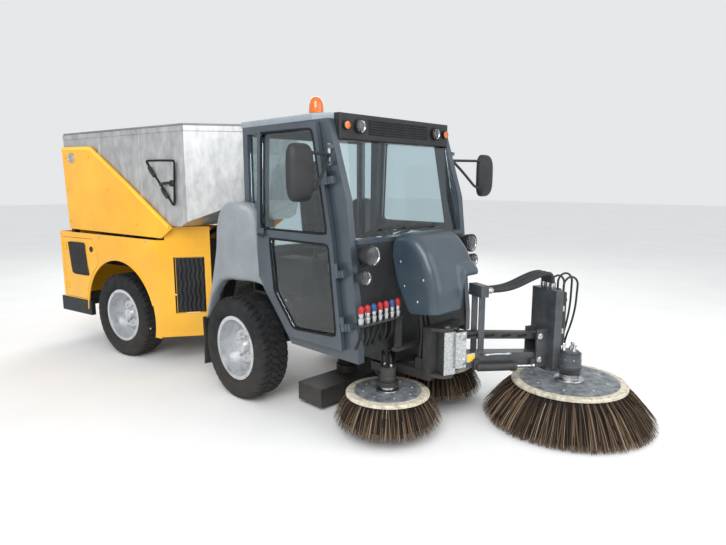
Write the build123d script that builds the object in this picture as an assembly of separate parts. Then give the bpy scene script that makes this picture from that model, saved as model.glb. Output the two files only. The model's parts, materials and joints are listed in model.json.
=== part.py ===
from build123d import *
import os
from math import atan2, cos, degrees, hypot, radians, sin, sqrt, tan

# Ride-on street sweeper in millimetres: a front cart with the cab and the brooms, and a rear
# cart with the tipping hopper, joined by an articulated and oscillating frame joint.
# Design frame: +X forward, +Y left, +Z up, zero on the ground below the front axle.

os.makedirs("parts", exist_ok=True)

# ---- wheels and frame joint -------------------------------------------------------------
tyre_radius = 355.0
tyre_width = 224.0
rim_seat_radius = 203.0
rim_flange_radius = 222.0
rim_width = 184.0
wheel_centre_y = 555.0
axle_stub_radius = 32.0
pivot_to_axle = 825.0          # frame joint to either axle
parked_steer = 10.7            # how far the rear cart is turned when parked
frame_pin_radius = 30.0
swing_shaft_radius = 45.0
running_gap = 0.3              # radial gap of every turning pair
side_gap = 2.0                 # gap between parts that pass each other

# ---- front cart -------------------------------------------------------------------------
rail_inner_y = 160.0
rail_outer_y = 220.0
rail_bottom = 385.0
rail_top = 475.0
cab_half_width = 546.0
cab_side_thickness = 46.0
cab_rear_x = 30.0
cab_floor_z = 510.0
seat_platform_z = 730.0
sheet = 20.0                   # thickness of the cab floor sandwich
roof_underside = 1826.0
roof_thickness = 41.0
door_inner_y = 550.0
door_thickness = 30.0
glass_thickness = 6.0
steering_rim_radius = 185.0

# ---- brooms -----------------------------------------------------------------------------
side_broom_radius = 330.0
side_disc_radius = 250.0
side_bristle_tip = 65.0
broom_disc_z = 240.0
broom_disc_thickness = 16.0
right_broom_xy = (1100.0, -300.0)
left_broom_xy = (955.0, 350.0)
front_broom_xy = (1785.0, 635.0)
front_broom_radius = 531.0
front_disc_radius = 347.0
front_bristle_tip = 3.0
boom_pivot_xy = (1345.0, -60.0)
boom_end_xy = (1610.0, 560.0)

# ---- rear cart, in its own frame: zero below the frame joint, +X forward -----------------
body_half_width = 665.0
body_skin = 6.0
body_top = 1040.0
body_rear_x = -1690.0
arch_radius = 480.0
fin_inner_y = 626.0
fin_thickness = 16.0
hopper_half_width = 620.0
hopper_rear_x = -1590.0
hopper_front_x = 352.0
hopper_corner = 303.0          # both legs of the front corner chamfers
hopper_bottom = 1145.0
hopper_top = 1890.0
hopper_wall = 4.0
tip_axis_x = -1440.0
tip_axis_z = 1690.0
trunnion_radius = 25.0
ram_circle_radius = 930.0      # both ram ends lie on this circle about the tip axis
ram_start_angle = 39.8         # below level, from the tip axis to the rod end
ram_closed_spread = 50.0       # angle between the two ram ends when closed

axle_z = tyre_radius
rear_place = Location((-pivot_to_axle, 0, 0), (0, 0, parked_steer))
nodes = {}


# ---- small helpers ----------------------------------------------------------------------
def block(x0, x1, y0, y1, z0, z1):
    """A box between two corners."""
    return Pos((x0 + x1) / 2, (y0 + y1) / 2, (z0 + z1) / 2) * Box(x1 - x0, y1 - y0, z1 - z0)


def side_plate(outline, y0, y1):
    """An outline of (x, z) points as a plate between two widths."""
    points = [(x, y0, z) for x, z in outline]
    return extrude(make_face(Polyline(*points, close=True)), y1 - y0, dir=(0, 1, 0))


def plan_plate(outline, z0, z1):
    """An outline of (x, y) points as a plate between two heights."""
    points = [(x, y, z0) for x, y in outline]
    return extrude(make_face(Polyline(*points, close=True)), z1 - z0, dir=(0, 0, 1))


def rod(start, end, radius):
    """A round bar between two points."""
    start, end = Vector(*start), Vector(*end)
    return Solid.make_cylinder(radius, (end - start).length, Plane(origin=start, z_dir=end - start))


def upright(x, y, z0, z1, radius):
    """A vertical round bar."""
    return rod((x, y, z0), (x, y, z1), radius)


def cross_bar(x, z, y0, y1, radius):
    """A round bar along Y."""
    return rod((x, y0, z), (x, y1, z), radius)


def turned(profile, origin, axis):
    """A profile of (radius, height) points turned about an axis."""
    plane = Plane(origin=origin, z_dir=axis)
    side = Plane(origin=origin, x_dir=plane.x_dir, z_dir=plane.x_dir.cross(plane.z_dir))
    face = side * make_face(Polyline(*profile, close=True))
    return revolve(face, Axis(origin, axis))


def pipe(points, radius):
    """A hose of straight runs and tangent arcs, each arc as large as its two runs allow."""
    corners = [Vector(*p) for p in points]
    bends = []
    for before, here, after in zip(corners, corners[1:], corners[2:]):
        one, two = here - before, after - here
        turn = radians(one.get_angle(two))
        bends.append(0.45 * min(one.length, two.length) / tan(turn / 2))
    path = FilletPolyline(*corners, radius=bends)
    return sweep(Plane(origin=path @ 0, z_dir=path % 0) * Circle(radius), path)


def other_side(shape):
    """The same piece on the other side of the machine."""
    return mirror(shape, about=Plane.XZ)


def both_sides(shape):
    """A piece and its mirror image."""
    return Compound([*shape.solids(), *other_side(shape).solids()])


def group(*shapes):
    """Separate solids of one node."""
    return Compound([solid for shape in shapes for solid in shape.solids()])


# ---- wheels -----------------------------------------------------------------------------
def wheel_rim():
    """Pressed steel rim with a deep dish, hub, cap and eight studs, outer face towards +Y."""
    half = rim_width / 2
    flange = 6.0
    inner = rim_seat_radius - flange
    bore = axle_stub_radius + running_gap
    barrel = turned(
        [(inner, -half), (rim_flange_radius, -half), (rim_flange_radius, flange - half),
         (rim_seat_radius, flange - half), (rim_seat_radius, half - flange),
         (rim_flange_radius, half - flange), (rim_flange_radius, half), (inner, half)],
        (0, 0, 0), (0, 1, 0))
    dish = turned(
        [(bore, -60), (60, -60), (60, 8), (110, 8), (140, -12), (inner + 1, -12),
         (inner + 1, -4), (143, -4), (114, 16), (60, 16), (45, 46), (0, 50), (0, 24), (bore, 24)],
        (0, 0, 0), (0, 1, 0))
    studs = [rod((80 * cos(a), 8, 80 * sin(a)), (80 * cos(a), 36, 80 * sin(a)), 9)
             for a in (radians(45 * n + 20) for n in range(8))]
    return barrel + dish + studs


def wheel_tyre():
    """Tyre carcass that sits between the rim flanges, open towards the rim."""
    seat = rim_seat_radius + running_gap
    bead = rim_width / 2 - 6.4
    half = tyre_width / 2
    tread = tyre_radius
    side = [(seat, bead), (rim_flange_radius + 2, bead), (240, half - 8), (285, half),
            (tread - 25, half - 6), (tread - 5, half - 18), (tread, half - 32)]
    cavity = [(tread - 18, half - 34), (tread - 30, half - 22), (285, half - 16),
              (238, bead - 16), (seat, bead - 16)]
    outside = side + [(r, -y) for r, y in reversed(side)]
    inside = [(r, -y) for r, y in reversed(cavity)] + cavity
    return turned(outside + inside, (0, 0, 0), (0, 1, 0))


def place_wheels():
    rim = wheel_rim()
    tyre = wheel_tyre()
    left = Pos(0, wheel_centre_y, axle_z)
    rear_left = rear_place * Pos(-pivot_to_axle, wheel_centre_y, axle_z)
    rear_right = rear_place * Pos(-pivot_to_axle, -wheel_centre_y, axle_z)
    nodes["rim_front_left"] = left * rim
    nodes["tyre_front_left"] = left * tyre
    nodes["rim_front_right"] = other_side(left * rim)
    nodes["tyre_front_right"] = other_side(left * tyre)
    nodes["rim_rear_left"] = rear_left * rim
    nodes["tyre_rear_left"] = rear_left * tyre
    nodes["rim_rear_right"] = rear_right * other_side(rim)
    nodes["tyre_rear_right"] = rear_right * other_side(tyre)


def axle(x):
    """Axle tube with its two stub shafts; the stubs end inside the wheel caps."""
    stub_end = wheel_centre_y + 20
    tube = cross_bar(x, axle_z, -420, 420, 45)
    return tube + cross_bar(x, axle_z, -stub_end, stub_end, axle_stub_radius)


# ---- front cart -------------------------------------------------------------------------
def box_rail(x0, x1, y0, y1):
    """Rectangular tube along X with a 6 mm wall."""
    wall = 6.0
    outer = block(x0, x1, y0, y1, rail_bottom, rail_top)
    return outer - block(x0 - 1, x1 + 1, y0 + wall, y1 - wall, rail_bottom + wall, rail_top - wall)


fork_bottom = 300.0
fork_top = 570.0
fork_plate = 25.0
chassis_front_x = 1040.0


def front_chassis():
    """Two rails, cross members, axle, cab posts and the fork of the frame joint."""
    right = box_rail(-600, chassis_front_x, -rail_outer_y, -rail_inner_y)
    frame = right + other_side(right) + axle(0)
    for x0, x1 in ((-600, -560), (640, 690), (chassis_front_x - 30, chassis_front_x)):
        frame += block(x0, x1, -rail_inner_y, rail_inner_y, rail_bottom, rail_top)
    frame += block(-640, -600, -rail_outer_y, rail_outer_y, fork_bottom, fork_top)
    for z in (fork_bottom, fork_top - fork_plate):
        frame += block(-pivot_to_axle, -640, -60, 60, z, z + fork_plate)
        frame += upright(-pivot_to_axle, 0, z, z + fork_plate, 60)
    frame -= upright(-pivot_to_axle, 0, fork_bottom - 1, fork_top + 1,
                     frame_pin_radius + running_gap)
    for x, top in ((60, seat_platform_z), (400, seat_platform_z), (560, cab_floor_z),
                   (1000, cab_floor_z)):
        post = block(x - 25, x + 25, rail_inner_y, rail_outer_y, rail_top - 1, top)
        frame += post
        frame += other_side(post)
    return frame


scuttle_z = 1135.0


def cab_tub():
    """Stepped floor with the seat platform and the front bulkhead."""
    outline = [(cab_rear_x, 1000), (cab_rear_x, seat_platform_z), (470, seat_platform_z),
               (505, cab_floor_z), (1096, cab_floor_z), (1052, scuttle_z), (1030, scuttle_z),
               (1074, cab_floor_z + sheet), (520, cab_floor_z + sheet),
               (485, seat_platform_z + sheet), (cab_rear_x + sheet, seat_platform_z + sheet),
               (cab_rear_x + sheet, 1000)]
    half = cab_half_width - cab_side_thickness
    return side_plate(outline, -half, half)


side_outline = [(cab_rear_x, roof_underside), (862, roof_underside), (1009, 1380), (1100, 600),
                (1100, 470), (505, 470), (165, 850), (cab_rear_x, 850)]
door_aperture = [(266, 1790), (778, 1790), (900, 1170), (973, 565), (540, 565), (243, 885),
                 (237, 1221)]
quarter_aperture = [(80, 1780), (190, 1780), (182, 1230), (182, 930), (80, 930)]
door_outline = [(241, 1816), (795, 1811), (925, 1167), (1003, 535), (521, 529), (216, 875),
                (211, 1221)]
upper_window = [(280, 1778), (766, 1774), (884, 1187), (252, 1187)]
lower_window = [(340, 1128), (893, 1128), (953, 610), (565, 585), (380, 790)]

# door hinge line on the right side, from the sill to the roof
hinge_low = Vector(1040, -585, 535)
hinge_high = Vector(830, -585, 1811)
hinge_axis = (hinge_high - hinge_low).normalized()
hinge_rearward = Vector(-hinge_axis.Z, 0, hinge_axis.X)
knuckle_radius = 12.0
knuckle_heights = (120.0, 420.0, 940.0)
mirror_axis_xy = (901.0, -572.0)
mirror_lugs = ((1570.0, 1590.0), (1660.0, 1680.0))
mirror_pin_radius = 6.0


def on_hinge(shape):
    """Moves a piece from the hinge's own frame to the right door: +X rearward, +Y outward."""
    return Plane(origin=hinge_low, x_dir=hinge_rearward, z_dir=hinge_axis).location * shape


def cab_side():
    """Right side frame with the fixed halves of the door hinges and the mirror lugs."""
    outer = -cab_half_width
    inner = cab_side_thickness - cab_half_width
    side = side_plate(side_outline, outer, inner)
    side -= side_plate(door_aperture, outer - 1, inner + 1)
    side -= side_plate(quarter_aperture, outer - 1, inner + 1)
    seat = hinge_low.Y - outer
    for z in knuckle_heights:
        leaf = block(-50, -knuckle_radius, seat, -4, z, z + 40)
        arm = block(-30, 0, -8, 0, z, z + 40)
        side += on_hinge(leaf + arm + rod((0, 0, z), (0, 0, z + 40), knuckle_radius))
    x, y = mirror_axis_xy
    for z0, z1 in mirror_lugs:
        lug = block(x - 14, x + 14, y, outer + 1, z0, z1) + upright(x, y, z0, z1, 14)
        side += lug - upright(x, y, z0 - 1, z1 + 1, mirror_pin_radius + running_gap)
    return side


def cab_frame():
    """Welded cab frame: two sides joined by the roof, scuttle and rear cross members."""
    half = cab_half_width - cab_side_thickness + 1
    side = cab_side()
    frame = side + other_side(side)
    frame += block(800, 862, -half, half, 1712, roof_underside)
    frame += block(cab_rear_x, 80, -half, half, 1770, roof_underside)
    frame += block(cab_rear_x, 80, -half, half, 1000, 1040)
    frame += block(980, 1050, -half, half, scuttle_z, 1160)
    return frame


# windscreen line, from the scuttle up to the light bar
screen_low = (1006.0, 1162.0)
screen_high = (893.0, 1705.0)
screen_lean = atan2(screen_low[0] - screen_high[0], screen_high[1] - screen_low[1])


def cab_glass():
    """Windscreen, rear window and two quarter windows."""
    half = cab_half_width - cab_side_thickness - 1
    depth = glass_thickness / cos(screen_lean)
    screen = side_plate([screen_low, screen_high, (screen_high[0] - depth, screen_high[1]),
                         (screen_low[0] - depth, screen_low[1])], -half, half)
    rear = block(46, 46 + glass_thickness, -half, half, 1042, 1768)
    pane = [(82, 1778), (188, 1778), (180, 1230), (180, 932), (82, 932)]
    quarter = side_plate(pane, -526, -520)
    return group(screen, rear, both_sides(quarter))


def cab_roof():
    """Roof shell with chamfered front corners."""
    half = 540.0
    outline = [(4, -half), (720, -half), (860, -430), (860, 430), (720, half), (4, half)]
    shell = plan_plate(outline, roof_underside, roof_underside + roof_thickness)
    top = shell.faces().sort_by(Axis.Z)[-1]
    return fillet(top.edges(), 14)


bar_front_x = 912.0


def light_bar():
    """Lamp housing across the front of the roof."""
    half = cab_half_width - cab_side_thickness - 2
    bar = block(862, bar_front_x, -half, half, 1712, 1858)
    front = bar.faces().sort_by(Axis.X)[-1]
    return fillet(front.edges(), 10)


beacon_xy = (465.0, -285.0)


def cab_lamps():
    """Beacon, roof work lamps, roof indicators and the headlamps on the bulkhead corners."""
    x, y = beacon_xy
    roof_top = roof_underside + roof_thickness
    base = upright(x, y, roof_top, roof_top + 38, 50)
    dome = turned([(0, roof_top + 38), (48, roof_top + 38), (48, 1960), (40, 1995), (20, 2010),
                   (0, 2010)], (x, y, 0), (0, 0, 1))
    roof_lamp = rod((bar_front_x, -350, 1790), (bar_front_x + 22, -350, 1790), 42)
    indicator = rod((bar_front_x, -462, 1790), (bar_front_x + 18, -462, 1790), 26)
    upper = rod((1062, -474, 1079), (1150, -474, 1079), 62)
    lower = rod((1072, -521, 960), (1140, -521, 960), 45)
    return group(base, dome, both_sides(group(roof_lamp, indicator, upper, lower)))


guard_centre = (80.0, 375.0)
guard_arch_radius = 455.0


def front_mudguards():
    """Front mudguards that rise behind the doors, each with its rubber flap."""
    outer = wheel_centre_y + tyre_width / 2
    outline = [(-341, 508), (-201, 874), (-146, 1087), (-144, 1257), (-90, 1335), (-20, 1360),
               (119, 1360), (185, 1333), (200, 1200), (205, 880), (330, 745), (330, 600)]
    guard = side_plate(outline, -outer, -door_inner_y + 2)
    cx, cz = guard_centre
    guard -= cross_bar(cx, cz, -outer - 1, -door_inner_y + 3, guard_arch_radius)
    guard -= plan_plate([(232, -door_inner_y + 3), (90, -outer - 1), (400, -outer - 1),
                         (400, -door_inner_y + 3)], 480, 1400)
    arch = side_plate([(-341, 508), (-201, 874), (-146, 1087), (-136, 1087), (-188, 874),
                       (-326, 508)], -door_inner_y + 2, -450)
    arch += side_plate([(-146, 1087), (-136, 1087), (-144, 1257), (-154, 1257)],
                       -door_inner_y + 2, -door_inner_y + 4)
    flap = block(-412, -402, -wheel_centre_y - 105, -455, 150, 505)
    stay = side_plate([(-402, 470), (-402, 505), (-341, 508), (-341, 500)], -660, -455)
    return both_sides(group(guard, flap, stay))


def front_hood():
    """Service hood in front of the cab, open behind and below, on two rubber buffers."""
    outer = [(1064, 1165), (1095, 1185), (1160, 1190), (1230, 1160), (1300, 1085), (1350, 985),
             (1384, 860), (1392, 790), (1344, 737), (1184, 712), (1100, 860), (1064, 1060)]
    inner = [(1050, 1157), (1096, 1179), (1158, 1184), (1226, 1155), (1295, 1081), (1344, 982),
             (1378, 858), (1386, 792), (1338, 700), (1150, 680), (1050, 860)]
    shell = side_plate(outer, -222, 222) - side_plate(inner, -216, 216)
    shell -= block(1150, 1400, -30, 230, 600, 925)
    buffer = block(1076, 1112, 60, 110, 1120, 1145) + block(1086, 1112, 60, 110, 1144, 1181)
    return shell + both_sides(buffer)


def hydraulic_couplings():
    """Coupling shelf below the right headlamps with seven quick couplings."""
    shelf = block(1098, 1170, -585, -240, 700, 708) + block(1098, 1104, -585, -240, 640, 701)
    bodies = [upright(1135, -560 + 50 * n, 708, 790, 17) + upright(1135, -560 + 50 * n, 789, 815, 12)
              for n in range(7)]
    return group(shelf, *bodies)


steering_centre = Vector(800, 0, 1150)
steering_axis = Vector(-0.423, 0, 0.906).normalized()


def cab_controls():
    """Pedestal, steering column, instrument pod and the side console with its arm rest."""
    top = steering_centre - steering_axis * 34
    foot = steering_centre - steering_axis * 420
    column = rod(tuple(top), tuple(foot), 30)
    column += block(945, 1015, -60, 60, cab_floor_z + sheet, 840)
    pod = block(905, 1000, -170, 170, 985, 1075)
    console = block(240, 600, -440, -300, seat_platform_z + sheet, 990)
    console -= block(484, 601, -441, -299, seat_platform_z, 900)
    stick = upright(540, -370, 990, 1075, 12)
    stick += Pos(540, -370, 1095) * Sphere(26)
    return group(column + pod, console + stick)


def steering_wheel():
    """Steering wheel: rim, three spokes and hub, square to the column."""
    plane = Plane(origin=steering_centre, x_dir=(0, 1, 0), z_dir=steering_axis)
    rim = Torus(steering_rim_radius, 14)
    hub = Cylinder(45, 40)
    spokes = [Rot(0, 0, 90 + 120 * n) * Pos(steering_rim_radius / 2, 0, 0)
              * Box(steering_rim_radius, 34, 10) for n in range(3)]
    return plane.location * (rim + hub + spokes)


seat_top = 870.0
cushion_back_x = 230.0


def seat():
    """Driver's seat: suspension base with rails, cushion on a pan, and backrest."""
    base = block(250, 470, -190, 190, seat_platform_z + sheet, seat_top)
    rails = [block(235, 480, y - 15, y + 15, seat_top, seat_top + 14) for y in (-140, 140)]
    nodes["seat_base"] = base + rails
    pan_z = seat_top + 14 + side_gap
    cushion = block(cushion_back_x, 680, -245, 245, pan_z, pan_z + 100)
    nodes["seat_cushion"] = fillet(cushion.edges().filter_by(Axis.Z), 50)
    back_low = pan_z + 100 + 12
    back = side_plate([(150, 1640), (228, 1640), (300, back_low), (205, back_low)], -235, 235)
    nodes["seat_backrest"] = back


def accelerator_pedal():
    """Foot pedal hinged at its heel on the cab floor."""
    floor = cab_floor_z + sheet
    pedal = side_plate([(893, floor + 20), (953, floor + 115), (960, floor + 110),
                        (900, floor + 15)], -150, -80)
    return pedal + cross_bar(898, floor + 14, -150, -80, 8)


def wiper():
    """Wiper arm and blade parked along the bottom of the windscreen."""
    normal = Vector(cos(screen_lean), 0, sin(screen_lean))
    pivot = Vector(wiper_pivot[0], wiper_pivot[1], wiper_pivot[2])
    plane = Plane(origin=pivot, x_dir=(0, -1, 0), z_dir=normal)
    boss = Pos(0, 0, 13) * Cylinder(14, 24)
    arm = Pos(150, 0, 20) * Box(300, 16, 6)
    blade = Pos(280, 0, 7) * Box(440, 10, 10)
    clip = Pos(290, 0, 16) * Box(20, 14, 12)
    return plane.location * (boss + arm + blade + clip)


wiper_pivot = (screen_low[0] - 40 * tan(screen_lean), 235.0, screen_low[1] + 40)


def door():
    """Right door: frame with its handle, and its two panes."""
    outer = -door_inner_y - door_thickness
    frame = side_plate(door_outline, outer, -door_inner_y)
    for window in (upper_window, lower_window):
        frame -= side_plate(window, outer - 1, 1 - door_inner_y)
    for z in knuckle_heights:
        leaf = block(0, 75, -16, -6, z + 41, z + 81)
        frame += on_hinge(leaf + rod((0, 0, z + 41), (0, 0, z + 81), knuckle_radius))
    frame += block(228, 300, outer - 14, outer, 1138, 1152)
    frame += block(228, 300, outer - 14, outer - 8, 1138, 1190)
    panes = []
    for window in (upper_window, lower_window):
        cx = sum(x for x, _ in window) / len(window)
        cz = sum(z for _, z in window) / len(window)
        inset = [(cx + (x - cx) * 0.996, cz + (z - cz) * 0.996) for x, z in window]
        panes.append(side_plate(inset, outer + 12, outer + 12 + glass_thickness))
    return frame, group(*panes)


def rear_mirror():
    """Right mirror: folding arm on its pin, and the mirror head."""
    x, y = mirror_axis_xy
    low, high = mirror_lugs[0][1] + 1, mirror_lugs[1][0] - 1
    pin = upright(x, y, mirror_lugs[0][0] - 4, mirror_lugs[1][1] + 4, mirror_pin_radius)
    boss = upright(x, y, low, high, 13)
    arm = rod((x, y, 1625), (990, -775, 1625), 11)
    head = block(968, 1032, -930, -762, 1374, 1674)
    head = fillet(head.edges().filter_by(Axis.X), 35)
    return pin + boss + arm + head


# ---- brooms and their carriage ----------------------------------------------------------
carriage_top = 372.0
carriage_bottom = 318.0
arm_top = carriage_bottom - side_gap
arm_bottom = 290.0
arm_pivot_xy = (936.0, 180.0)
boom_lug_low = 340.0
boom_lug_high = 640.0
lug_plate = 20.0


def broom_carriage():
    """Lifting carriage below the chassis with the broom arm pivots and the boom lugs."""
    frame = block(890, 985, -225, 225, carriage_bottom, carriage_top)
    for y in (-120, 120):
        frame += block(980, 1260, y - 30, y + 30, carriage_bottom, carriage_top)
    frame += block(1240, 1290, -150, 150, carriage_bottom, boom_lug_high)
    frame += block(1120, 1241, -20, 20, carriage_top - 1, carriage_top + 160)
    frame += block(1100, 1241, -150, 150, carriage_top - 54, carriage_top)
    frame += block(1180, 1232, -145, -35, carriage_top - 1, manifold_top)
    frame += block(1120, 1160, -290, -19, 500, 520) + block(1140, 1150, -290, -235, 519, 690)
    frame += block(1140, 1150, -75, -25, 386, 649)
    sx, sy = boom_pivot_xy
    for z in (boom_lug_low, boom_lug_high - lug_plate):
        frame += plan_plate([(1285, -140), (1285, 60), (sx, 0), (sx + 30, sy + 30),
                             (sx + 45, sy), (sx + 30, sy - 40), (sx, -120)], z, z + lug_plate)
    frame -= upright(sx, sy, 300, 700, boom_pin_radius + running_gap)
    px, py = arm_pivot_xy
    for side in (-1, 1):
        pin = upright(px, side * py, arm_bottom - 6, carriage_bottom + 1, 16)
        frame += pin
    return frame


boom_pin_radius = 20.0


def broom_arm(centre, side):
    """Swinging arm with the hydraulic motor that carries a side broom."""
    px, py = arm_pivot_xy[0], arm_pivot_xy[1] * side
    cx, cy = centre
    length = hypot(cx - px, cy - py)
    ux, uy = (cx - px) / length, (cy - py) / length
    half = 32.0
    arm = plan_plate([(px - uy * half, py + ux * half), (cx - uy * half, cy + ux * half),
                      (cx + uy * half, cy - ux * half), (px + uy * half, py - ux * half)],
                     arm_bottom, arm_top)
    arm += upright(px, py, arm_bottom, arm_top, 40) + upright(cx, cy, arm_bottom, arm_top, 62)
    arm -= upright(px, py, arm_bottom - 1, arm_top + 1, 16 + running_gap)
    arm += upright(cx, cy, arm_top - 1, arm_top + 90, 48)
    return arm


def brush(centre, disc_radius, tip_radius, tip_z, ring, hub_radius, hub_top):
    """A round brush: pressed disc with its hub, and the flared ring of bristles below it."""
    x, y = centre
    top = broom_disc_z + broom_disc_thickness
    disc = upright(x, y, broom_disc_z, top, disc_radius) + upright(x, y, top - 1, hub_top, hub_radius)
    bristles = turned([(ring, broom_disc_z), (disc_radius - 8, broom_disc_z),
                       (tip_radius, tip_z), (tip_radius - 85, tip_z)], (x, y, 0), (0, 0, 1))
    return group(disc, bristles)


boom_angle = degrees(atan2(boom_end_xy[1] - boom_pivot_xy[1], boom_end_xy[0] - boom_pivot_xy[0]))
boom_start = 75.0              # arm pins from the swing pin
boom_reach = 560.0             # between the pins of an arm
boom_drop = 60.0               # how much lower the outer pins are
lower_pin_z = 440.0
upper_pin_z = 590.0
boom_frame = Location((*boom_pivot_xy, 0), (0, 0, boom_angle))
arm_pin_radius = 14.0


def boom_parts():
    """Swing bracket, lower arm, upper link and head post of the front broom boom."""
    low_end = lower_pin_z - boom_drop
    high_end = upper_pin_z - boom_drop
    end = boom_start + boom_reach
    bracket = upright(0, 0, boom_lug_low - 6, boom_lug_high + 6, boom_pin_radius)
    bracket += block(-38, 38, -40, 40, boom_lug_low + lug_plate + side_gap,
                     boom_lug_high - lug_plate - side_gap)
    for y in (-58, 46):
        bracket += block(30, boom_start + 25, y, y + 12, 400, 616)
    bracket += block(30, 38, -58, 58, 400, 616)
    for z in (lower_pin_z, upper_pin_z):
        bracket += cross_bar(boom_start, z, -58, 58, arm_pin_radius)
    nodes["boom_bracket"] = boom_frame * bracket

    bore = arm_pin_radius + running_gap
    slope = -degrees(atan2(boom_drop, boom_reach))
    span = sqrt(boom_reach ** 2 + boom_drop ** 2)

    def link(z, half_height, half_width, boss):
        bar = block(0, span, -half_width, half_width, -half_height, half_height)
        for x in (0, span):
            bar += cross_bar(x, 0, -half_width, half_width, boss)
            bar -= cross_bar(x, 0, -60, 60, bore)
        return Pos(boom_start, 0, z) * Rot(0, -slope, 0) * bar

    arm = link(lower_pin_z, 46, 42, 34)
    for y in (-42, 34):
        arm += block(192, 232, y, y + 8, 440, 812)
    arm += block(186, 238, -66, 66, 811, 880)
    nodes["boom_arm"] = boom_frame * arm
    nodes["boom_link"] = boom_frame * link(upper_pin_z, 20, 30, 24)

    post = block(end + 62, end + 120, -110, 110, 330, post_top)
    for y in (-58, 46):
        post += block(end - 25, end + 70, y, y + 12, 335, 575)
    for z in (low_end, high_end):
        post += cross_bar(end, z, -58, 58, arm_pin_radius)
    fx, fy = front_broom_xy
    centre = boom_frame.inverse() * Pos(fx, fy, 0)
    mx, my = centre.position.X, centre.position.Y
    post += plan_plate([(end + 62, -60), (end + 62, 110), (mx, my + 90), (mx + 90, my),
                        (mx, my - 90), (end + 120, -110)], 302, 332)
    post += upright(mx, my, 331, 430, 68)
    nodes["broom_post"] = boom_frame * post


hose_radius = 14.0
hose_lanes = (-42.0, 0.0, 42.0)
post_top = 820.0
manifold_top = 440.0
boom_hose_route = [(238 + side_gap, 846), (330, 842), (440, 852), (560, 896), (650, 922), (726, 916),
                   (726, post_top + side_gap)]
carriage_hose_route = [(1185, 0, 800), (1188, 0, 730), (1205, 6, 650), (1212, 4, 575),
                       (1206, 0, 505), (1204, 0, manifold_top + side_gap)]
carriage_hose_lanes = (-128.0, -90.0, -52.0)


def boom_hoses():
    """Three hoses from the block on the boom arm, over the boom and down into the head post."""
    hoses = [pipe([(x, lane, z) for x, z in boom_hose_route], hose_radius) for lane in hose_lanes]
    return boom_frame * group(*hoses)


def carriage_hoses():
    """Three hoses from inside the service hood down to the broom carriage."""
    return group(*[pipe([(x, y + lane, z) for x, y, z in carriage_hose_route], 11)
                   for lane in carriage_hose_lanes])


# ---- suction ----------------------------------------------------------------------------
mouth_collar = 200.0


def suction_mouth():
    """Suction mouth between the side brooms and the front wheels, open below."""
    mouth = block(380, 610, -400, 400, 30, 150) - block(388, 602, -392, 392, 20, 142)
    mouth += upright(440, 0, 149, mouth_collar, 78)
    return mouth - upright(440, 0, 100, mouth_collar + 1, 70)


def suction_hose():
    """Suction hose from the mouth over the frame joint to the hopper floor."""
    route = [(440, 0, mouth_collar + 2), (440, 0, 430), (300, 0, 600), (0, 0, 632), (-400, 0, 632),
             (-640, 0, 730), (-790, 0, 920), (-830, 0, hopper_bottom - side_gap)]
    return pipe(route, 66)


# ---- rear cart --------------------------------------------------------------------------
shaft_z = 435.0


def articulation_link():
    """Frame joint block: upright pin for steering and level shaft for the oscillation."""
    pin = upright(0, 0, fork_bottom - 6, fork_top + 6, frame_pin_radius)
    body = block(-58, 58, -58, 58, fork_bottom + fork_plate + side_gap,
                 fork_top - fork_plate - side_gap)
    shaft = rod((-57, 0, shaft_z), (-330, 0, shaft_z), swing_shaft_radius)
    return rear_place * (pin + body + shaft)


ram_y = 500.0
ram_pin_radius = 12.0


def ram_point(angle):
    """A point on the ram circle, as (x, z)."""
    return (tip_axis_x + ram_circle_radius * cos(radians(angle)),
            tip_axis_z - ram_circle_radius * sin(radians(angle)))


ram_top = ram_point(ram_start_angle)
ram_foot = ram_point(ram_start_angle + ram_closed_spread)


def rear_chassis():
    """Rear rails, axle, bearing of the frame joint, hopper posts and ram feet."""
    right = box_rail(-1640, -240, -280, -220)
    frame = right + other_side(right) + axle(-pivot_to_axle)
    frame += block(-240, -200, -280, 280, 330, 560)
    frame += rod((-160, 0, shaft_z), (-320, 0, shaft_z), 78)
    frame -= rod((-100, 0, shaft_z), (-335, 0, shaft_z), swing_shaft_radius + running_gap)
    for x in (-1560, -340):
        frame += block(x, x + 50, -fin_inner_y, -219, 400, 460)
        frame += block(x, x + 50, 219, fin_inner_y, 400, 460)
        for side in (-1, 1):
            y0, y1 = sorted((side * 580, side * fin_inner_y))
            frame += block(x, x + 50, y0, y1, 459, hopper_bottom - 15)
    foot_x, foot_z = ram_foot
    frame += block(foot_x - 80, foot_x - 45, -fin_inner_y, fin_inner_y, foot_z - 45, foot_z + 45)
    for y in (ram_y, -ram_y):
        for edge in (-22, 14):
            frame += block(foot_x - 46, foot_x + 26, y + edge, y + edge + 8, foot_z - 26, foot_z + 26)
        frame += cross_bar(foot_x, foot_z, y - 22, y + 22, ram_pin_radius)
    return rear_place * frame


seam_x = -282.0
chamfer_end_x = 6.0
service_door_outline = [(-1650, 445), (-1650, 988), (-1180, 988), (-1108, 842), (-1108, 445)]
door_arch_radius = 505.0


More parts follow.
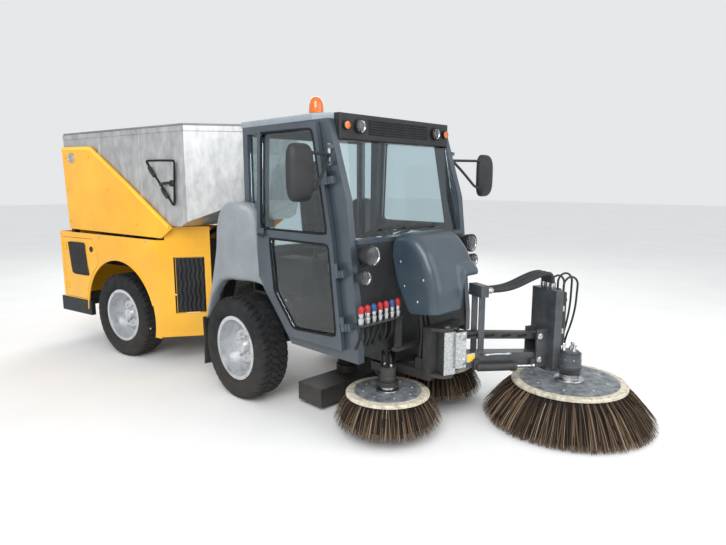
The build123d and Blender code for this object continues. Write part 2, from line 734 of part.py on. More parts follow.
def side_body():
    """Right body panel: wheel arch, service door aperture and chamfered front corner."""
    outer = -body_half_width
    inner = outer + body_skin
    panel = side_plate([(body_rear_x, 433), (body_rear_x, body_top), (seam_x, body_top - 10),
                        (seam_x, 236), (-400, 236), (-400, 433)], outer, inner)
    panel -= cross_bar(-pivot_to_axle, axle_z, outer - 1, inner + 1, arch_radius)
    hole = side_plate([(-1654, 441), (-1654, 992), (-1178, 992), (-1104, 843), (-1104, 441)],
                      outer - 2, inner + 2)
    hole -= cross_bar(-pivot_to_axle, axle_z, outer - 3, inner + 3, door_arch_radius - 4)
    panel -= hole
    run = chamfer_end_x - seam_x
    corner = plan_plate([(seam_x, outer), (chamfer_end_x, outer + run),
                         (chamfer_end_x - 4, outer + run + 4), (seam_x, inner + 2.5)], 248, 1030)
    start = body_half_width - fin_inner_y + 5
    top_strip = plan_plate([(seam_x + start, outer + start), (chamfer_end_x, outer + run),
                            (chamfer_end_x - 4, outer + run + 4),
                            (seam_x + start - 4, outer + start + 4)], 1029, hopper_bottom - 12)
    opening = plan_plate([(-166, outer + 56), (2, outer + 224), (-58, outer + 284),
                          (-226, outer + 116)], 440, 893)
    return panel + (corner - opening) + top_strip


def body_panels():
    """Both side bodies, the rear panel and the two ribbed corner grilles."""
    side = side_body()
    rear = block(body_rear_x - body_skin, body_rear_x, -body_half_width, body_half_width, 433, body_top)
    outer = -body_half_width
    slab = plan_plate([(-194, outer + 100), (-30, outer + 264), (-39, outer + 273),
                       (-203, outer + 109)], 443, 890)
    return rear_place * group(both_sides(side), rear, both_sides(slab))


def service_door():
    """Right service door over the rear locker, hinged at its rear edge."""
    outer = -body_half_width
    panel = side_plate(service_door_outline, outer, outer + body_skin)
    panel -= cross_bar(-pivot_to_axle, axle_z, outer - 1, outer + 20, door_arch_radius)
    for z in (520, 880):
        panel += block(service_hinge[0], -1600, outer - 6, outer + 0.5, z, z + 50)
        panel += upright(service_hinge[0], service_hinge[1], z, z + 50, 8)
    return panel


service_hinge = (-1650.0, -body_half_width - 8.0)


def rear_bumper():
    """Rear bumper wrapped round both corners, with the tow jaw."""
    bumper = block(-1745, -1698, -668, 668, 300, 430)
    for side in (-1, 1):
        y0, y1 = sorted((side * 630, side * 668))
        bumper += block(-1700, -1262, y0, y1, 300, 430)
    for z in (335, 395):
        bumper += block(-1810, -1740, -40, 40, z, z + 20) + upright(-1810, 0, z, z + 20, 40)
    return rear_place * (bumper - upright(-1810, 0, 300, 430, tow_bore_radius))


tow_bore_radius = 16.0


def tail_lamps():
    """Tail lamp clusters on the rear panel."""
    rear = body_rear_x - body_skin
    lamp = block(rear - 24, rear, -640, -560, 560, 780)
    return rear_place * both_sides(lamp)


fin_outline = [(-1595, 1788), (-1149, 1781), (-618, 1454), (-117, 1130), (-246, 1046),
               (-1558, 1066)]


def upper_fins():
    """Side cheeks that carry the hopper's tip bearings."""
    fin = side_plate(fin_outline, -fin_inner_y - fin_thickness, -fin_inner_y)
    fin -= cross_bar(tip_axis_x, tip_axis_z, -700, -600, trunnion_radius + running_gap)
    return rear_place * both_sides(fin)


hatch_outline = [(-401, 1647), (-50, 1639), (-79, 1291)]


def hopper_plan(inset):
    """Plan outline of the hopper, moved inwards by a wall."""
    half = hopper_half_width - inset
    front = hopper_front_x - inset
    corner = hopper_corner - inset * (2 - sqrt(2))
    rear = hopper_rear_x
    return [(rear, -half), (front - corner, -half), (front, corner - half),
            (front, half - corner), (front - corner, half), (rear, half)]


def hopper_box(inset, low, high):
    """Hopper volume with the floor rising towards the front."""
    walls = plan_plate(hopper_plan(inset), low, high)
    rise = [(-2000, low), (-30, low), (hopper_front_x + 1, low + 190),
            (hopper_front_x + 1, high + 1), (-2000, high + 1)]
    return walls & side_plate(rise, -900, 900)


def hopper_parts():
    """Dirt hopper with its tip pins and ram brackets, tailgate, lid, hatch, fan and rams."""
    shell = hopper_box(0, hopper_bottom, hopper_top)
    shell -= hopper_box(hopper_wall, hopper_bottom + hopper_wall, hopper_top + 10)
    deck = hopper_box(hopper_wall - 1, hopper_bottom, hopper_top)
    shell += deck & block(-60, 250, -700, 700, 1790, 1796)
    hole = [(-362, 1625), (-75, 1619), (-98, 1340)]
    shell -= side_plate(hole, -hopper_half_width - 1, -hopper_half_width + 10)
    inlet = upright(-5, 0, hopper_bottom - 1, hopper_bottom + 12, 60)
    shell -= inlet
    for side in (-1, 1):
        shell += cross_bar(tip_axis_x, tip_axis_z, side * (hopper_half_width - 2),
                           side * (fin_inner_y + fin_thickness - 2), trunnion_radius)
    top_x, top_z = ram_top
    for y in (ram_y, -ram_y):
        for edge in (-24, 16):
            shell += block(top_x - 30, top_x + 30, y + edge, y + edge + 8, top_z + 22,
                           hopper_bottom + 1)
    nodes["hopper_body"] = rear_place * shell

    gate_gap = 2.0
    gate = block(hopper_rear_x - 10, hopper_rear_x - gate_gap, -616, 616, hopper_bottom + 2,
                 hopper_top - 2)
    gate += cross_bar(tailgate_axis[0], tailgate_axis[1], -560, 560, 8)
    gate += block(tailgate_axis[0], hopper_rear_x - gate_gap, -560, 560, hopper_top - 20,
                  hopper_top - 4)
    nodes["hopper_tailgate"] = rear_place * gate

    lid = plan_plate(hopper_plan(3), hopper_top + 2, hopper_top + 16)
    lid += cross_bar(lid_axis[0], lid_axis[1], -500, 500, 8)
    nodes["hopper_lid"] = rear_place * lid

    hatch = side_plate(hatch_outline, -hopper_half_width - 8, -hopper_half_width - 1)
    for share in (0.25, 0.7):
        x = hatch_hinge_low[0] + share * (hatch_hinge_high[0] - hatch_hinge_low[0])
        z = hatch_hinge_low[2] + share * (hatch_hinge_high[2] - hatch_hinge_low[2])
        spot = Vector(x, -hopper_half_width - 9, z)
        reach = hatch_axis * 30
        hatch += rod(tuple(spot - reach), tuple(spot + reach), 7)
    latch = rod((-95, -hopper_half_width - 7, 1470), (-95, -hopper_half_width - 22, 1470), 12)
    latch += block(-190, -85, -hopper_half_width - 24, -hopper_half_width - 14, 1460, 1480)
    nodes["inspection_hatch"] = rear_place * (hatch + latch)

    fan = upright(90, 0, 1700, 1788, 30) + upright(90, 0, 1700, 1706, 190)
    for n in range(8):
        fan += Pos(90, 0, 1735) * Rot(0, 0, 45 * n) * Pos(110, 0, 0) * Box(140, 6, 60)
    nodes["fan_impeller"] = rear_place * fan

    foot_x, foot_z = ram_foot
    length = hypot(top_x - foot_x, top_z - foot_z)
    along = Vector((top_x - foot_x) / length, 0, (top_z - foot_z) / length)
    barrels, rods = [], []
    for y in (ram_y, -ram_y):
        foot = Vector(foot_x, y, foot_z)

        def at(s):
            return tuple(foot + along * s)

        bore = ram_rod_radius + running_gap
        eye = cross_bar(foot_x, foot_z, y - 12, y + 12, 26)
        barrel = turned([(0, 18), (10, 18), (10, 66), (34, 66), (34, length - 37),
                         (bore, length - 37), (bore, 72), (0, 72)], tuple(foot), tuple(along))
        barrel += eye
        barrel -= cross_bar(foot_x, foot_z, y - 40, y + 40, ram_pin_radius + running_gap)
        barrels.append(barrel)
        piston = rod(at(76), at(length - 5), ram_rod_radius)
        rods.append(piston + cross_bar(top_x, top_z, y - 14, y + 14, 20))
    nodes["ram_barrels"] = rear_place * group(*barrels)
    nodes["ram_rods"] = rear_place * group(*rods)


ram_rod_radius = 18.0
tailgate_axis = (hopper_rear_x - 14.0, hopper_top - 12.0)
lid_axis = (hopper_rear_x + 4.0, hopper_top + 20.0)
hatch_hinge_low = (-401.0, -hopper_half_width - 9.0, 1647.0)
hatch_hinge_high = (-79.0, -hopper_half_width - 9.0, 1291.0)
hatch_axis = (Vector(*hatch_hinge_high) - Vector(*hatch_hinge_low)).normalized()


def power_pack():
    """Engine, radiator and water tank below the hopper."""
    engine = block(-760, -345, -200, 200, 480, 900)
    engine += block(-740, -360, -120, 120, 400, 481)
    radiator = block(-196, -140, -300, 300, 590, 1010)
    tank = block(-1450, -920, -420, 420, 730, 1030)
    return rear_place * group(engine, radiator, tank)


# ---- assembly ---------------------------------------------------------------------------
def build_nodes():
    """Every sub-part in its place, with the rear cart parked at its steering angle."""
    place_wheels()
    nodes["front_chassis"] = front_chassis()
    nodes["cab_tub"] = cab_tub()
    nodes["cab_frame"] = cab_frame()
    nodes["cab_roof"] = cab_roof()
    nodes["cab_glass"] = cab_glass()
    nodes["light_bar"] = light_bar()
    nodes["cab_lamps"] = cab_lamps()
    nodes["front_mudguards"] = front_mudguards()
    nodes["front_hood"] = front_hood()
    nodes["hydraulic_couplings"] = hydraulic_couplings()
    nodes["cab_controls"] = cab_controls()
    nodes["steering_wheel"] = steering_wheel()
    seat()
    nodes["accelerator_pedal"] = accelerator_pedal()
    nodes["wiper"] = wiper()
    frame, panes = door()
    nodes["door_frame_right"] = frame
    nodes["door_glass_right"] = panes
    nodes["door_frame_left"] = other_side(frame)
    nodes["door_glass_left"] = other_side(panes)
    nodes["mirror_right"] = rear_mirror()
    nodes["mirror_left"] = other_side(rear_mirror())
    nodes["broom_carriage"] = broom_carriage()
    nodes["broom_arm_right"] = broom_arm(right_broom_xy, -1)
    nodes["broom_arm_left"] = broom_arm(left_broom_xy, 1)
    for name, centre in (("brush_right", right_broom_xy), ("brush_left", left_broom_xy)):
        nodes[name] = brush(centre, side_disc_radius, side_broom_radius, side_bristle_tip, 150, 40,
                            arm_bottom - 1)
    nodes["brush_front"] = brush(front_broom_xy, front_disc_radius, front_broom_radius,
                                 front_bristle_tip, 210, 60, 301)
    boom_parts()
    nodes["boom_hoses"] = boom_hoses()
    nodes["carriage_hoses"] = carriage_hoses()
    nodes["suction_mouth"] = suction_mouth()
    nodes["suction_hose"] = suction_hose()
    nodes["articulation_link"] = articulation_link()
    nodes["rear_chassis"] = rear_chassis()
    nodes["body_panels"] = group(body_panels(), upper_fins())
    nodes["service_door_right"] = rear_place * service_door()
    nodes["service_door_left"] = rear_place * other_side(service_door())
    nodes["rear_bumper"] = rear_bumper()
    nodes["tail_lamps"] = tail_lamps()
    hopper_parts()
    nodes["power_pack"] = power_pack()


build_nodes()

# the kept frame has its origin at the middle of the footprint, on the ground
everything = Compound([solid for shape in nodes.values() for solid in shape.solids()])
extent = everything.bounding_box()
shift = Vector(-(extent.min.X + extent.max.X) / 2, -(extent.min.Y + extent.max.Y) / 2, -extent.min.Z)
for name, shape in nodes.items():
    solids = [solid.moved(Location(shift)) for solid in shape.solids()]
    export_step(solids[0] if len(solids) == 1 else Compound(solids), f"parts/{name}.step")
print("nodes", len(nodes), "shift", shift, "size", extent.size)
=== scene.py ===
import json
import math

import bmesh
import bpy
import numpy as np
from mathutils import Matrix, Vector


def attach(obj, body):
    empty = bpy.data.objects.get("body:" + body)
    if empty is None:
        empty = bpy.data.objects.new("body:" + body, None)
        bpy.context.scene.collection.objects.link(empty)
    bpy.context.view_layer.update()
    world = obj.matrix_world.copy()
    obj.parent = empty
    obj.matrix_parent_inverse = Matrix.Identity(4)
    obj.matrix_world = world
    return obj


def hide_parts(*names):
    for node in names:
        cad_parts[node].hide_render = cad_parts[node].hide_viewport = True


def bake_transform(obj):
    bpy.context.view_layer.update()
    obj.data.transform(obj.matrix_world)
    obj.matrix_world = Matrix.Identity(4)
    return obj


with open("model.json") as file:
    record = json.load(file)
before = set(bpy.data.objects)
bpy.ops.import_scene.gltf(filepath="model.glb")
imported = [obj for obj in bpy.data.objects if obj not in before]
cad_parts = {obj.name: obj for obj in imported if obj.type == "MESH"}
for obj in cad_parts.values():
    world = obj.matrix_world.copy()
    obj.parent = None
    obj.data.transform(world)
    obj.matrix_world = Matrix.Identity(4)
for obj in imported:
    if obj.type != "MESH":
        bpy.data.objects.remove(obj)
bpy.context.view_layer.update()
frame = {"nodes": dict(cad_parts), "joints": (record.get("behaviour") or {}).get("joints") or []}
random = np.random.default_rng(7)

# ---- the two carts' own frames ----------------------------------------------------------
# The sweeper is two carts joined at a steering joint. Sizes below are millimetres from the
# ground under the front axle, or from the ground under the frame joint for the rear cart.
joint_at = {joint["name"]: np.array(joint["pos_m"]) for joint in frame["joints"]
            if "pos_m" in joint}
front_ground = (joint_at["wheel_front_left_spin"] + joint_at["wheel_front_right_spin"]) / 2
front_ground[2] = 0.0
rear_ground = joint_at["steering_articulation"] * (1, 1, 0)
rear_axle_line = joint_at["wheel_rear_left_spin"] - joint_at["wheel_rear_right_spin"]
parked_turn = math.atan2(-rear_axle_line[0], rear_axle_line[1])
rear_turn = np.array([[math.cos(parked_turn), -math.sin(parked_turn), 0],
                      [math.sin(parked_turn), math.cos(parked_turn), 0], [0, 0, 1]])


def front(points):
    """Front cart millimetres to metres in the model: divided by 1000, then shifted."""
    return np.asarray(points, float) / 1000 + front_ground


def rear(points):
    """Rear cart millimetres to metres: divided by 1000, turned by the parked angle, shifted."""
    return np.asarray(points, float) / 1000 @ rear_turn.T + rear_ground


# ---- view, floor and light --------------------------------------------------------------
# A camera at standing height off the right front corner, a matte pale studio floor, and
# three large soft lamps over it with a dim even surround.
view_azimuth = 44.6
view_pitch = 9.1
camera_data = bpy.data.cameras.new("view")
camera_data.lens = 27.58
camera_data.sensor_width = 36.0
camera = bpy.data.objects.new("view", camera_data)
camera.location = front((3213.9, -2653.2, 1469.5))
camera.rotation_euler = (math.radians(90 - view_pitch), 0, math.radians(view_azimuth))
bpy.context.scene.collection.objects.link(camera)
bpy.context.scene.camera = camera


def linear(code):
    """sRGB hex to linear: each channel c becomes ((c + 0.055) / 1.055) ** 2.4, or c / 12.92."""
    channels = np.array([int(code[n:n + 2], 16) for n in (1, 3, 5)]) / 255
    curved = np.where(channels > 0.04045, ((channels + 0.055) / 1.055) ** 2.4, channels / 12.92)
    return (*curved, 1.0)


def add(tree, kind, links=(), **settings):
    """Adds one node; settings name its properties or inputs, links are (input, socket) pairs."""
    made = tree.nodes.new(kind)
    for name, value in settings.items():
        if hasattr(made, name):
            setattr(made, name, value)
        else:
            made.inputs[name.replace("_", " ")].default_value = value
    for socket, source in links:
        tree.links.new(source, made.inputs[socket])
    return made


def material(name, colour, roughness, **settings):
    """A new material with its shader's constants set; returns it with its tree and shader."""
    made = bpy.data.materials.new(name)
    made.use_nodes = True
    shader = made.node_tree.nodes["Principled BSDF"]
    shader.inputs["Base Color"].default_value = linear(colour)
    shader.inputs["Roughness"].default_value = roughness
    for setting, value in settings.items():
        shader.inputs[setting.replace("_", " ")].default_value = value
    return made, made.node_tree, shader


def mottle(tree, shader, dark, light, size_mm, low=0.35, high=0.65, stretch=(1, 1, 1)):
    """Colour drifts from dark to light with noise of about size_mm across, on object metres."""
    place = add(tree, "ShaderNodeTexCoord")
    mapping = add(tree, "ShaderNodeMapping", [("Vector", place.outputs["Object"])],
                  Scale=stretch)
    noise = add(tree, "ShaderNodeTexNoise", [("Vector", mapping.outputs["Vector"])],
                Scale=1000 / size_mm, Detail=6.0, Roughness=0.6)
    ramp = add(tree, "ShaderNodeValToRGB", [("Fac", noise.outputs["Fac"])])
    ramp.color_ramp.elements[0].position = low
    ramp.color_ramp.elements[0].color = linear(dark)
    ramp.color_ramp.elements[1].position = high
    ramp.color_ramp.elements[1].color = linear(light)
    tree.links.new(ramp.outputs["Color"], shader.inputs["Base Color"])
    return noise, ramp, mapping


def grain(tree, shader, size_mm, height_mm, stretch=(1, 1, 1), strength=0.5):
    """Fine relief: noise of size_mm across and height_mm high, as bump."""
    place = add(tree, "ShaderNodeTexCoord")
    mapping = add(tree, "ShaderNodeMapping", [("Vector", place.outputs["Object"])],
                  Scale=stretch)
    noise = add(tree, "ShaderNodeTexNoise", [("Vector", mapping.outputs["Vector"])],
                Scale=1000 / size_mm, Detail=4.0)
    bump = add(tree, "ShaderNodeBump", [("Height", noise.outputs["Fac"])],
               Strength=strength, Distance=height_mm / 1000)
    tree.links.new(bump.outputs["Normal"], shader.inputs["Normal"])
    return noise


def dust(tree, shader, colour, top_mm, most):
    """Road dust: the finished colour goes over to dust with noise, more towards the ground."""
    behind = shader.inputs["Base Color"].links[0].from_socket
    place = add(tree, "ShaderNodeTexCoord")
    split = add(tree, "ShaderNodeSeparateXYZ", [("Vector", place.outputs["Object"])])
    height = add(tree, "ShaderNodeMapRange", [("Value", split.outputs["Z"])],
                 From_Min=0.0, From_Max=top_mm / 1000, To_Min=most, To_Max=0.0)
    patch = add(tree, "ShaderNodeTexNoise", [("Vector", place.outputs["Object"])],
                Scale=9.0, Detail=8.0, Roughness=0.7)
    share = add(tree, "ShaderNodeMath", [(0, height.outputs["Result"]),
                                         (1, patch.outputs["Fac"])], operation="MULTIPLY")
    mix = add(tree, "ShaderNodeMix", [("Factor", share.outputs["Value"]), (6, behind)],
              data_type="RGBA")
    mix.inputs[7].default_value = linear(colour)
    tree.links.new(mix.outputs[2], shader.inputs["Base Color"])


def put_mesh(name, points, faces):
    """A mesh object at the origin from an array of points in metres and a list of faces."""
    mesh = bpy.data.meshes.new(name)
    mesh.from_pydata(np.asarray(points, float).reshape(-1, 3).tolist(), [], faces)
    mesh.update()
    made = bpy.data.objects.new(name, mesh)
    bpy.context.scene.collection.objects.link(made)
    return made


# studio floor: painted board, very slightly uneven in tone, fully matte
floor_half = 40.0
floor = put_mesh("studio_floor", [(-floor_half, -floor_half, 0), (floor_half, -floor_half, 0),
                                  (floor_half, floor_half, 0), (-floor_half, floor_half, 0)],
                 [(0, 1, 2, 3)])
floor_paint, tree, shader = material("matte_floor_paint", "#F2F2F1", 0.9)
mottle(tree, shader, "#F0F0EF", "#F4F4F3", 900)
floor.data.materials.append(floor_paint)

surround = bpy.data.worlds.new("surround")
surround.use_nodes = True
surround.node_tree.nodes["Background"].inputs["Color"].default_value = linear("#F7F9FB")
surround.node_tree.nodes["Background"].inputs["Strength"].default_value = 0.85
bpy.context.scene.world = surround
bpy.context.scene.view_settings.view_transform = "Standard"
for name, place, aim, size, power in (
        ("key_lamp", (3400, -4200, 4300), (0, -300, 700), 3.5, 250),
        ("fill_lamp", (5200, 1500, 3000), (900, 200, 600), 4.0, 75),
        ("back_lamp", (-4500, 3600, 4600), (-900, 0, 900), 4.0, 150)):
    lamp_data = bpy.data.lights.new(name, "AREA")
    lamp_data.size = size
    lamp_data.energy = power
    lamp = bpy.data.objects.new(name, lamp_data)
    lamp.location = front(place)
    direction = Vector(front(aim)) - lamp.location
    lamp.rotation_euler = direction.to_track_quat("-Z", "Y").to_euler()
    bpy.context.scene.collection.objects.link(lamp)

# ---- wheels -----------------------------------------------------------------------------
# Radial tyres with a block tread on silver lacquered steel rims. The tyre is moulded
# rubber: five rows of tread blocks, plain side walls. The rims are the frame's own.
tyre_outline = np.array([(206, 84), (224, 86), (232, 96), (245, 105), (265, 110), (285, 112),
                         (310, 110), (330, 106), (342, 101), (350, 94), (354.5, 84)])
tread_half = 84.0
tread_pitches = 44
groove_depth = 8.0


def grid_faces(rows, columns, closed_rows=False, closed_columns=False):
    """Quads between neighbouring points of a grid stored row by row, wrapping where closed."""
    r = np.arange(rows if closed_rows else rows - 1)
    c = np.arange(columns if closed_columns else columns - 1)
    r, c = (a.ravel() for a in np.meshgrid(r, c, indexing="ij"))
    r_next, c_next = (r + 1) % rows, (c + 1) % columns
    quads = np.stack([r * columns + c, r * columns + c_next, r_next * columns + c_next,
                      r_next * columns + c], 1)
    return quads.tolist()


def surface(name, points, finish, closed_rows=False, closed_columns=False, crease=35):
    """A grid of points (rows, columns, 3) in metres as a smooth piece with outward faces."""
    rows, columns = points.shape[:2]
    made = put_mesh(name, points, grid_faces(rows, columns, closed_rows, closed_columns))
    work = bmesh.new()
    work.from_mesh(made.data)
    bmesh.ops.remove_doubles(work, verts=work.verts, dist=2e-6)
    bmesh.ops.recalc_face_normals(work, faces=work.faces)
    work.to_mesh(made.data)
    work.free()
    made.data.shade_smooth()
    made.data.set_sharp_from_angle(angle=math.radians(crease))
    made.data.materials.append(finish)
    return made


def belongs(piece, body, slot, *nodes):
    """The piece rides on a body and stands for the named CAD nodes. slot is not used."""
    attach(piece, body)
    if nodes:
        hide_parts(*nodes)
    return piece


def wear(node_name, finish):
    """Gives a CAD node its finish."""
    data = frame["nodes"][node_name].data
    data.materials.clear()
    data.materials.append(finish)


# vulcanised rubber: near black, dry, grey road dust in the tread and low down
tyre_rubber, tree, shader = material("vulcanised_rubber", "#1B1C1D", 0.82,
                                     Specular_IOR_Level=0.35)
mottle(tree, shader, "#141516", "#26272A", 60)
dust(tree, shader, "#6E675C", 500, 0.35)
grain(tree, shader, 6, 0.6)

# silver lacquer over pressed steel: soft metallic sheen, brake dust in patches
rim_lacquer, tree, shader = material("silver_lacquer", "#C9CCD0", 0.34, Metallic=0.55,
                                     Coat_Weight=0.25, Coat_Roughness=0.2)
mottle(tree, shader, "#A9ABAC", "#CDD0D4", 70, 0.3, 0.5)
dust(tree, shader, "#7A7265", 620, 0.35)
grain(tree, shader, 3, 0.1, strength=0.25)


def tyre_points(centre, place):
    """Tyre skin: radius and width follow the outline; inside the tread the radius drops by
    the groove depth where a zigzag groove or a cross slot runs."""
    tread_y = np.linspace(tread_half - 5, 5 - tread_half, 33)
    widths = np.concatenate([tyre_outline[:, 1], tread_y, -tyre_outline[::-1, 1]])
    radii = np.concatenate([tyre_outline[:, 0], np.full(33, 355.0), tyre_outline[::-1, 0]])
    turns = np.linspace(0, 1, tread_pitches * 12, endpoint=False)
    turn, width = np.meshgrid(turns, widths, indexing="ij")
    radius = np.broadcast_to(radii, turn.shape).copy()
    phase = turn * tread_pitches
    zigzag = 7 * (4 * np.abs(phase % 1 - 0.5) - 1)
    row_groove = np.abs(np.abs(width) - 31 - zigzag * np.sign(width)) < 5.5
    skew = np.where(width > 0, 0.0, 0.5)
    shoulder = (np.abs(width) > 36) & ((phase + skew + np.abs(width) / 160) % 1 < 0.24)
    centre_slot = (np.abs(width) < 26) & ((phase + 0.25 + width / 90) % 1 < 0.15)
    on_tread = np.abs(width) < tread_half
    shoulder_edge = (np.abs(width) >= tread_half) & (radius > 335) & shoulder
    cut = (on_tread & (row_groove | shoulder | centre_slot)) | shoulder_edge
    radius -= groove_depth * cut
    rim_band = (radius > 262) & (radius < 300)
    radius -= 1.5 * rim_band * (np.sin(phase * 2 * np.pi) > 0)
    angle = turn * 2 * np.pi
    points = np.stack([radius * np.cos(angle), width, radius * np.sin(angle)], -1)
    return place(points + centre)


for corner, side in (("left", 1), ("right", -1)):
    for axle, place, x in (("front", front, 0), ("rear", rear, -825)):
        tyre = surface(f"tread_{axle}_{corner}",
                       tyre_points((x, 555 * side, 355), place), tyre_rubber,
                       closed_rows=True, crease=40)
        belongs(tyre, f"wheel_{axle}_{corner}", "tyre_rubber", f"tyre_{axle}_{corner}")
        wear(f"rim_{axle}_{corner}", rim_lacquer)

# ---- brushes ----------------------------------------------------------------------------
# Round sweeping brushes: a pressed steel disc with a cream wooden rim that holds flared
# bundles of stiff nylon and steel bristles, worn and dusty at their tips.
disc_height = 240.0
disc_thickness = 16.0


def turned(name, outline, centre, finish, place=front, steps=96, closed=False):
    """A (radius, height) outline turned about an upright axis: x, y = r cos, r sin."""
    outline = np.asarray(outline, float)
    angle = np.linspace(0, 2 * np.pi, steps, endpoint=False)[:, None]
    points = np.stack([outline[:, 0] * np.cos(angle), outline[:, 0] * np.sin(angle),
                       np.broadcast_to(outline[:, 1], (steps, len(outline)))], -1)
    return surface(name, place(points + (*centre, 0)), finish, closed_rows=True,
                   closed_columns=closed)


# nylon and wire mix: brown strands from black to dusty tan, no shine
bristle_fibre, tree, shader = material("bristle_fibre", "#2A231F", 0.8,
                                       Specular_IOR_Level=0.25)
tone = add(tree, "ShaderNodeAttribute", attribute_name="strand_tone")
ramp = add(tree, "ShaderNodeValToRGB", [("Fac", tone.outputs["Fac"])])
for place_on_ramp, code in ((0.28, "#33281F"), (0.5, "#5E4C3D"), (0.72, "#8A745C")):
    ramp.color_ramp.elements.new(place_on_ramp).color = linear(code)
ramp.color_ramp.elements[0].color = linear("#1A1512")
ramp.color_ramp.elements[-1].color = linear("#C4B294")
tree.links.new(ramp.outputs["Color"], shader.inputs["Base Color"])
grain(tree, shader, 4, 0.4)
# pressed steel disc: blue-grey paint, dust lying on it, scuffed
disc_paint, tree, shader = material("disc_paint", "#66707A", 0.5)
mottle(tree, shader, "#4C545D", "#8A8E8F", 45)
grain(tree, shader, 10, 0.4)
# beech rim: cream, dry, grey at the bolt holes
rim_wood, tree, shader = material("beech_rim", "#CFC7B2", 0.7)
mottle(tree, shader, "#9A9180", "#D6CFBB", 30, 0.3, 0.6)
grain(tree, shader, 5, 0.4)


def bristle_ring(name, centre, ring, tips, tip_z, count, width, body, node):
    """Tapered three-sided strands from a ring to the tips: radius runs from ring to tip,
    height from the disc down as t ** 1.15, each strand leaning towards its bundle."""
    bundle = 2 * np.pi / 56
    start = random.uniform(0, 2 * np.pi, count)
    depth = random.uniform(0, 1, count)
    nearest = (np.floor(start / bundle) + 0.5) * bundle
    pull = random.uniform(0.2, 0.75, count)
    base_angle = start + (nearest - start) * 0.6
    tip_angle = start + (nearest - start) * pull * 0.3 + random.normal(0, 0.014, count)
    base_radius = ring[0] + (ring[1] - ring[0]) * depth
    tip_radius = tips[0] + (tips[1] - tips[0]) * depth ** 0.8 + random.normal(0, 5, count)
    tip_radius = np.minimum(tip_radius, tips[1])
    low = tip_z + np.abs(random.normal(0, 9, count)) + 22 * (depth > 0.8)
    t = np.linspace(0, 1, 4)[None, :]
    angle = base_angle[:, None] + (tip_angle - base_angle)[:, None] * t
    radius = base_radius[:, None] + (tip_radius - base_radius)[:, None] * t ** 0.9
    height = disc_height - 4 + (low[:, None] - disc_height + 4) * t ** 1.15
    thick = width * (1 - 0.55 * t)
    corner = np.arange(3) * 2 * np.pi / 3
    aside = thick[..., None] * np.cos(corner)
    above = thick[..., None] * np.sin(corner) * 0.7
    x = radius[..., None] * np.cos(angle)[..., None] - aside * np.sin(angle)[..., None]
    y = radius[..., None] * np.sin(angle)[..., None] + aside * np.cos(angle)[..., None]
    points = np.stack([x + centre[0], y + centre[1], height[..., None] + above], -1)
    points[..., 2] = np.maximum(points[..., 2], tip_z)
    first = np.arange(count)[:, None, None] * 12
    ring_step = np.arange(3)[None, :, None] * 3
    k = np.arange(3)[None, None, :]
    a, b = first + ring_step + k, first + ring_step + (k + 1) % 3
    quads = np.stack([a, b, b + 3, a + 3], -1).reshape(-1, 4)
    ends = np.stack([first[:, 0, 0] + 9, first[:, 0, 0] + 10, first[:, 0, 0] + 11], -1)
    starts = np.stack([first[:, 0, 0] + 2, first[:, 0, 0] + 1, first[:, 0, 0]], -1)
    made = put_mesh(name, front(points), quads.tolist() + ends.tolist() + starts.tolist())
    tone_value = random.beta(1.6, 2.6, count)[:, None] * 0.85 + 0.15 * t
    tones = made.data.attributes.new("strand_tone", "FLOAT", "POINT")
    tones.data.foreach_set("value", np.repeat(tone_value.ravel(), 3).astype(np.float32))
    made.data.materials.append(bristle_fibre)
    return belongs(made, body, "brush_mix", node)


for name, centre, ring, tips, tip_z, count, width, disc, hub in (
        ("right", (1100, -300), (165, 240), (238, 327), 66, 1900, 2.6, 250, 40),
        ("left", (955, 350), (165, 240), (238, 327), 66, 1300, 2.8, 250, 40),
        ("front", (1785, 635), (240, 337), (412, 527), 4, 3600, 3.0, 347, 60)):
    body = f"brush_{name}"
    bristle_ring(f"bristles_{name}", centre, ring, tips, tip_z, count, width, body, body)
    inner = turned(f"bristle_bed_{name}", [(ring[0] - 8, disc_height - 2),
                                           (ring[1] - 6, disc_height - 2),
                                           (tips[1] - 42, tip_z + 40), (tips[0] + 6, tip_z + 16),
                                           (tips[0] - 12, tip_z + 22)], centre,
                   bristle_fibre, closed=True)
    belongs(inner, body, "brush_mix")
    top = disc_height + disc_thickness
    inside = disc - 58
    belongs(turned(f"rim_{name}_brush", [(inside, disc_height - 3), (disc, disc_height - 3),
                                         (disc, top - 7), (disc - 8, top), (inside, top)],
                   centre, rim_wood, closed=True), body, "brush_mix")
    belongs(turned(f"disc_{name}", [(hub, top - 4), (hub + 30, top - 4), (hub + 55, top + 3),
                                    (inside - 30, top + 3), (inside - 8, top + 7),
                                    (inside + 9, top + 4), (inside + 9, top - 3),
                                    (inside - 30, top - 9), (hub, top - 9)], centre,
                   disc_paint, closed=True), body, "brush_mix")

# ---- service hood -----------------------------------------------------------------------
# A deep moulding in front of the cab with large rounded edges, satin slate blue. It is
# open behind and below, arched at its left foot for the hoses, and held by four screws.
hood_outline = np.array([(1066, 1168), (1096, 1186), (1160, 1190), (1230, 1160), (1300, 1085),
                         (1350, 985), (1384, 860), (1391, 790), (1388, 742)])
hood_foot = np.array([(1060, 1060), (1066, 1020), (1078, 950), (1092, 895), (1112, 850),
                      (1136, 800), (1160, 762), (1182, 735), (1196, 722)])
hood_half = 220.0
hood_radius = 62.0


def along(path, count):
    """Points evenly along a polyline, then softened twice by averaging each with its
    neighbours."""
    path = np.asarray(path, float)
    run = np.concatenate([[0], np.cumsum(np.linalg.norm(np.diff(path, axis=0), axis=1))])
    at = np.linspace(0, run[-1], count)
    points = np.stack([np.interp(at, run, path[:, n]) for n in range(path.shape[1])], 1)
    for _ in range(6):
        points[1:-1] = (points[:-2] + 2 * points[1:-1] + points[2:]) / 4
    return points


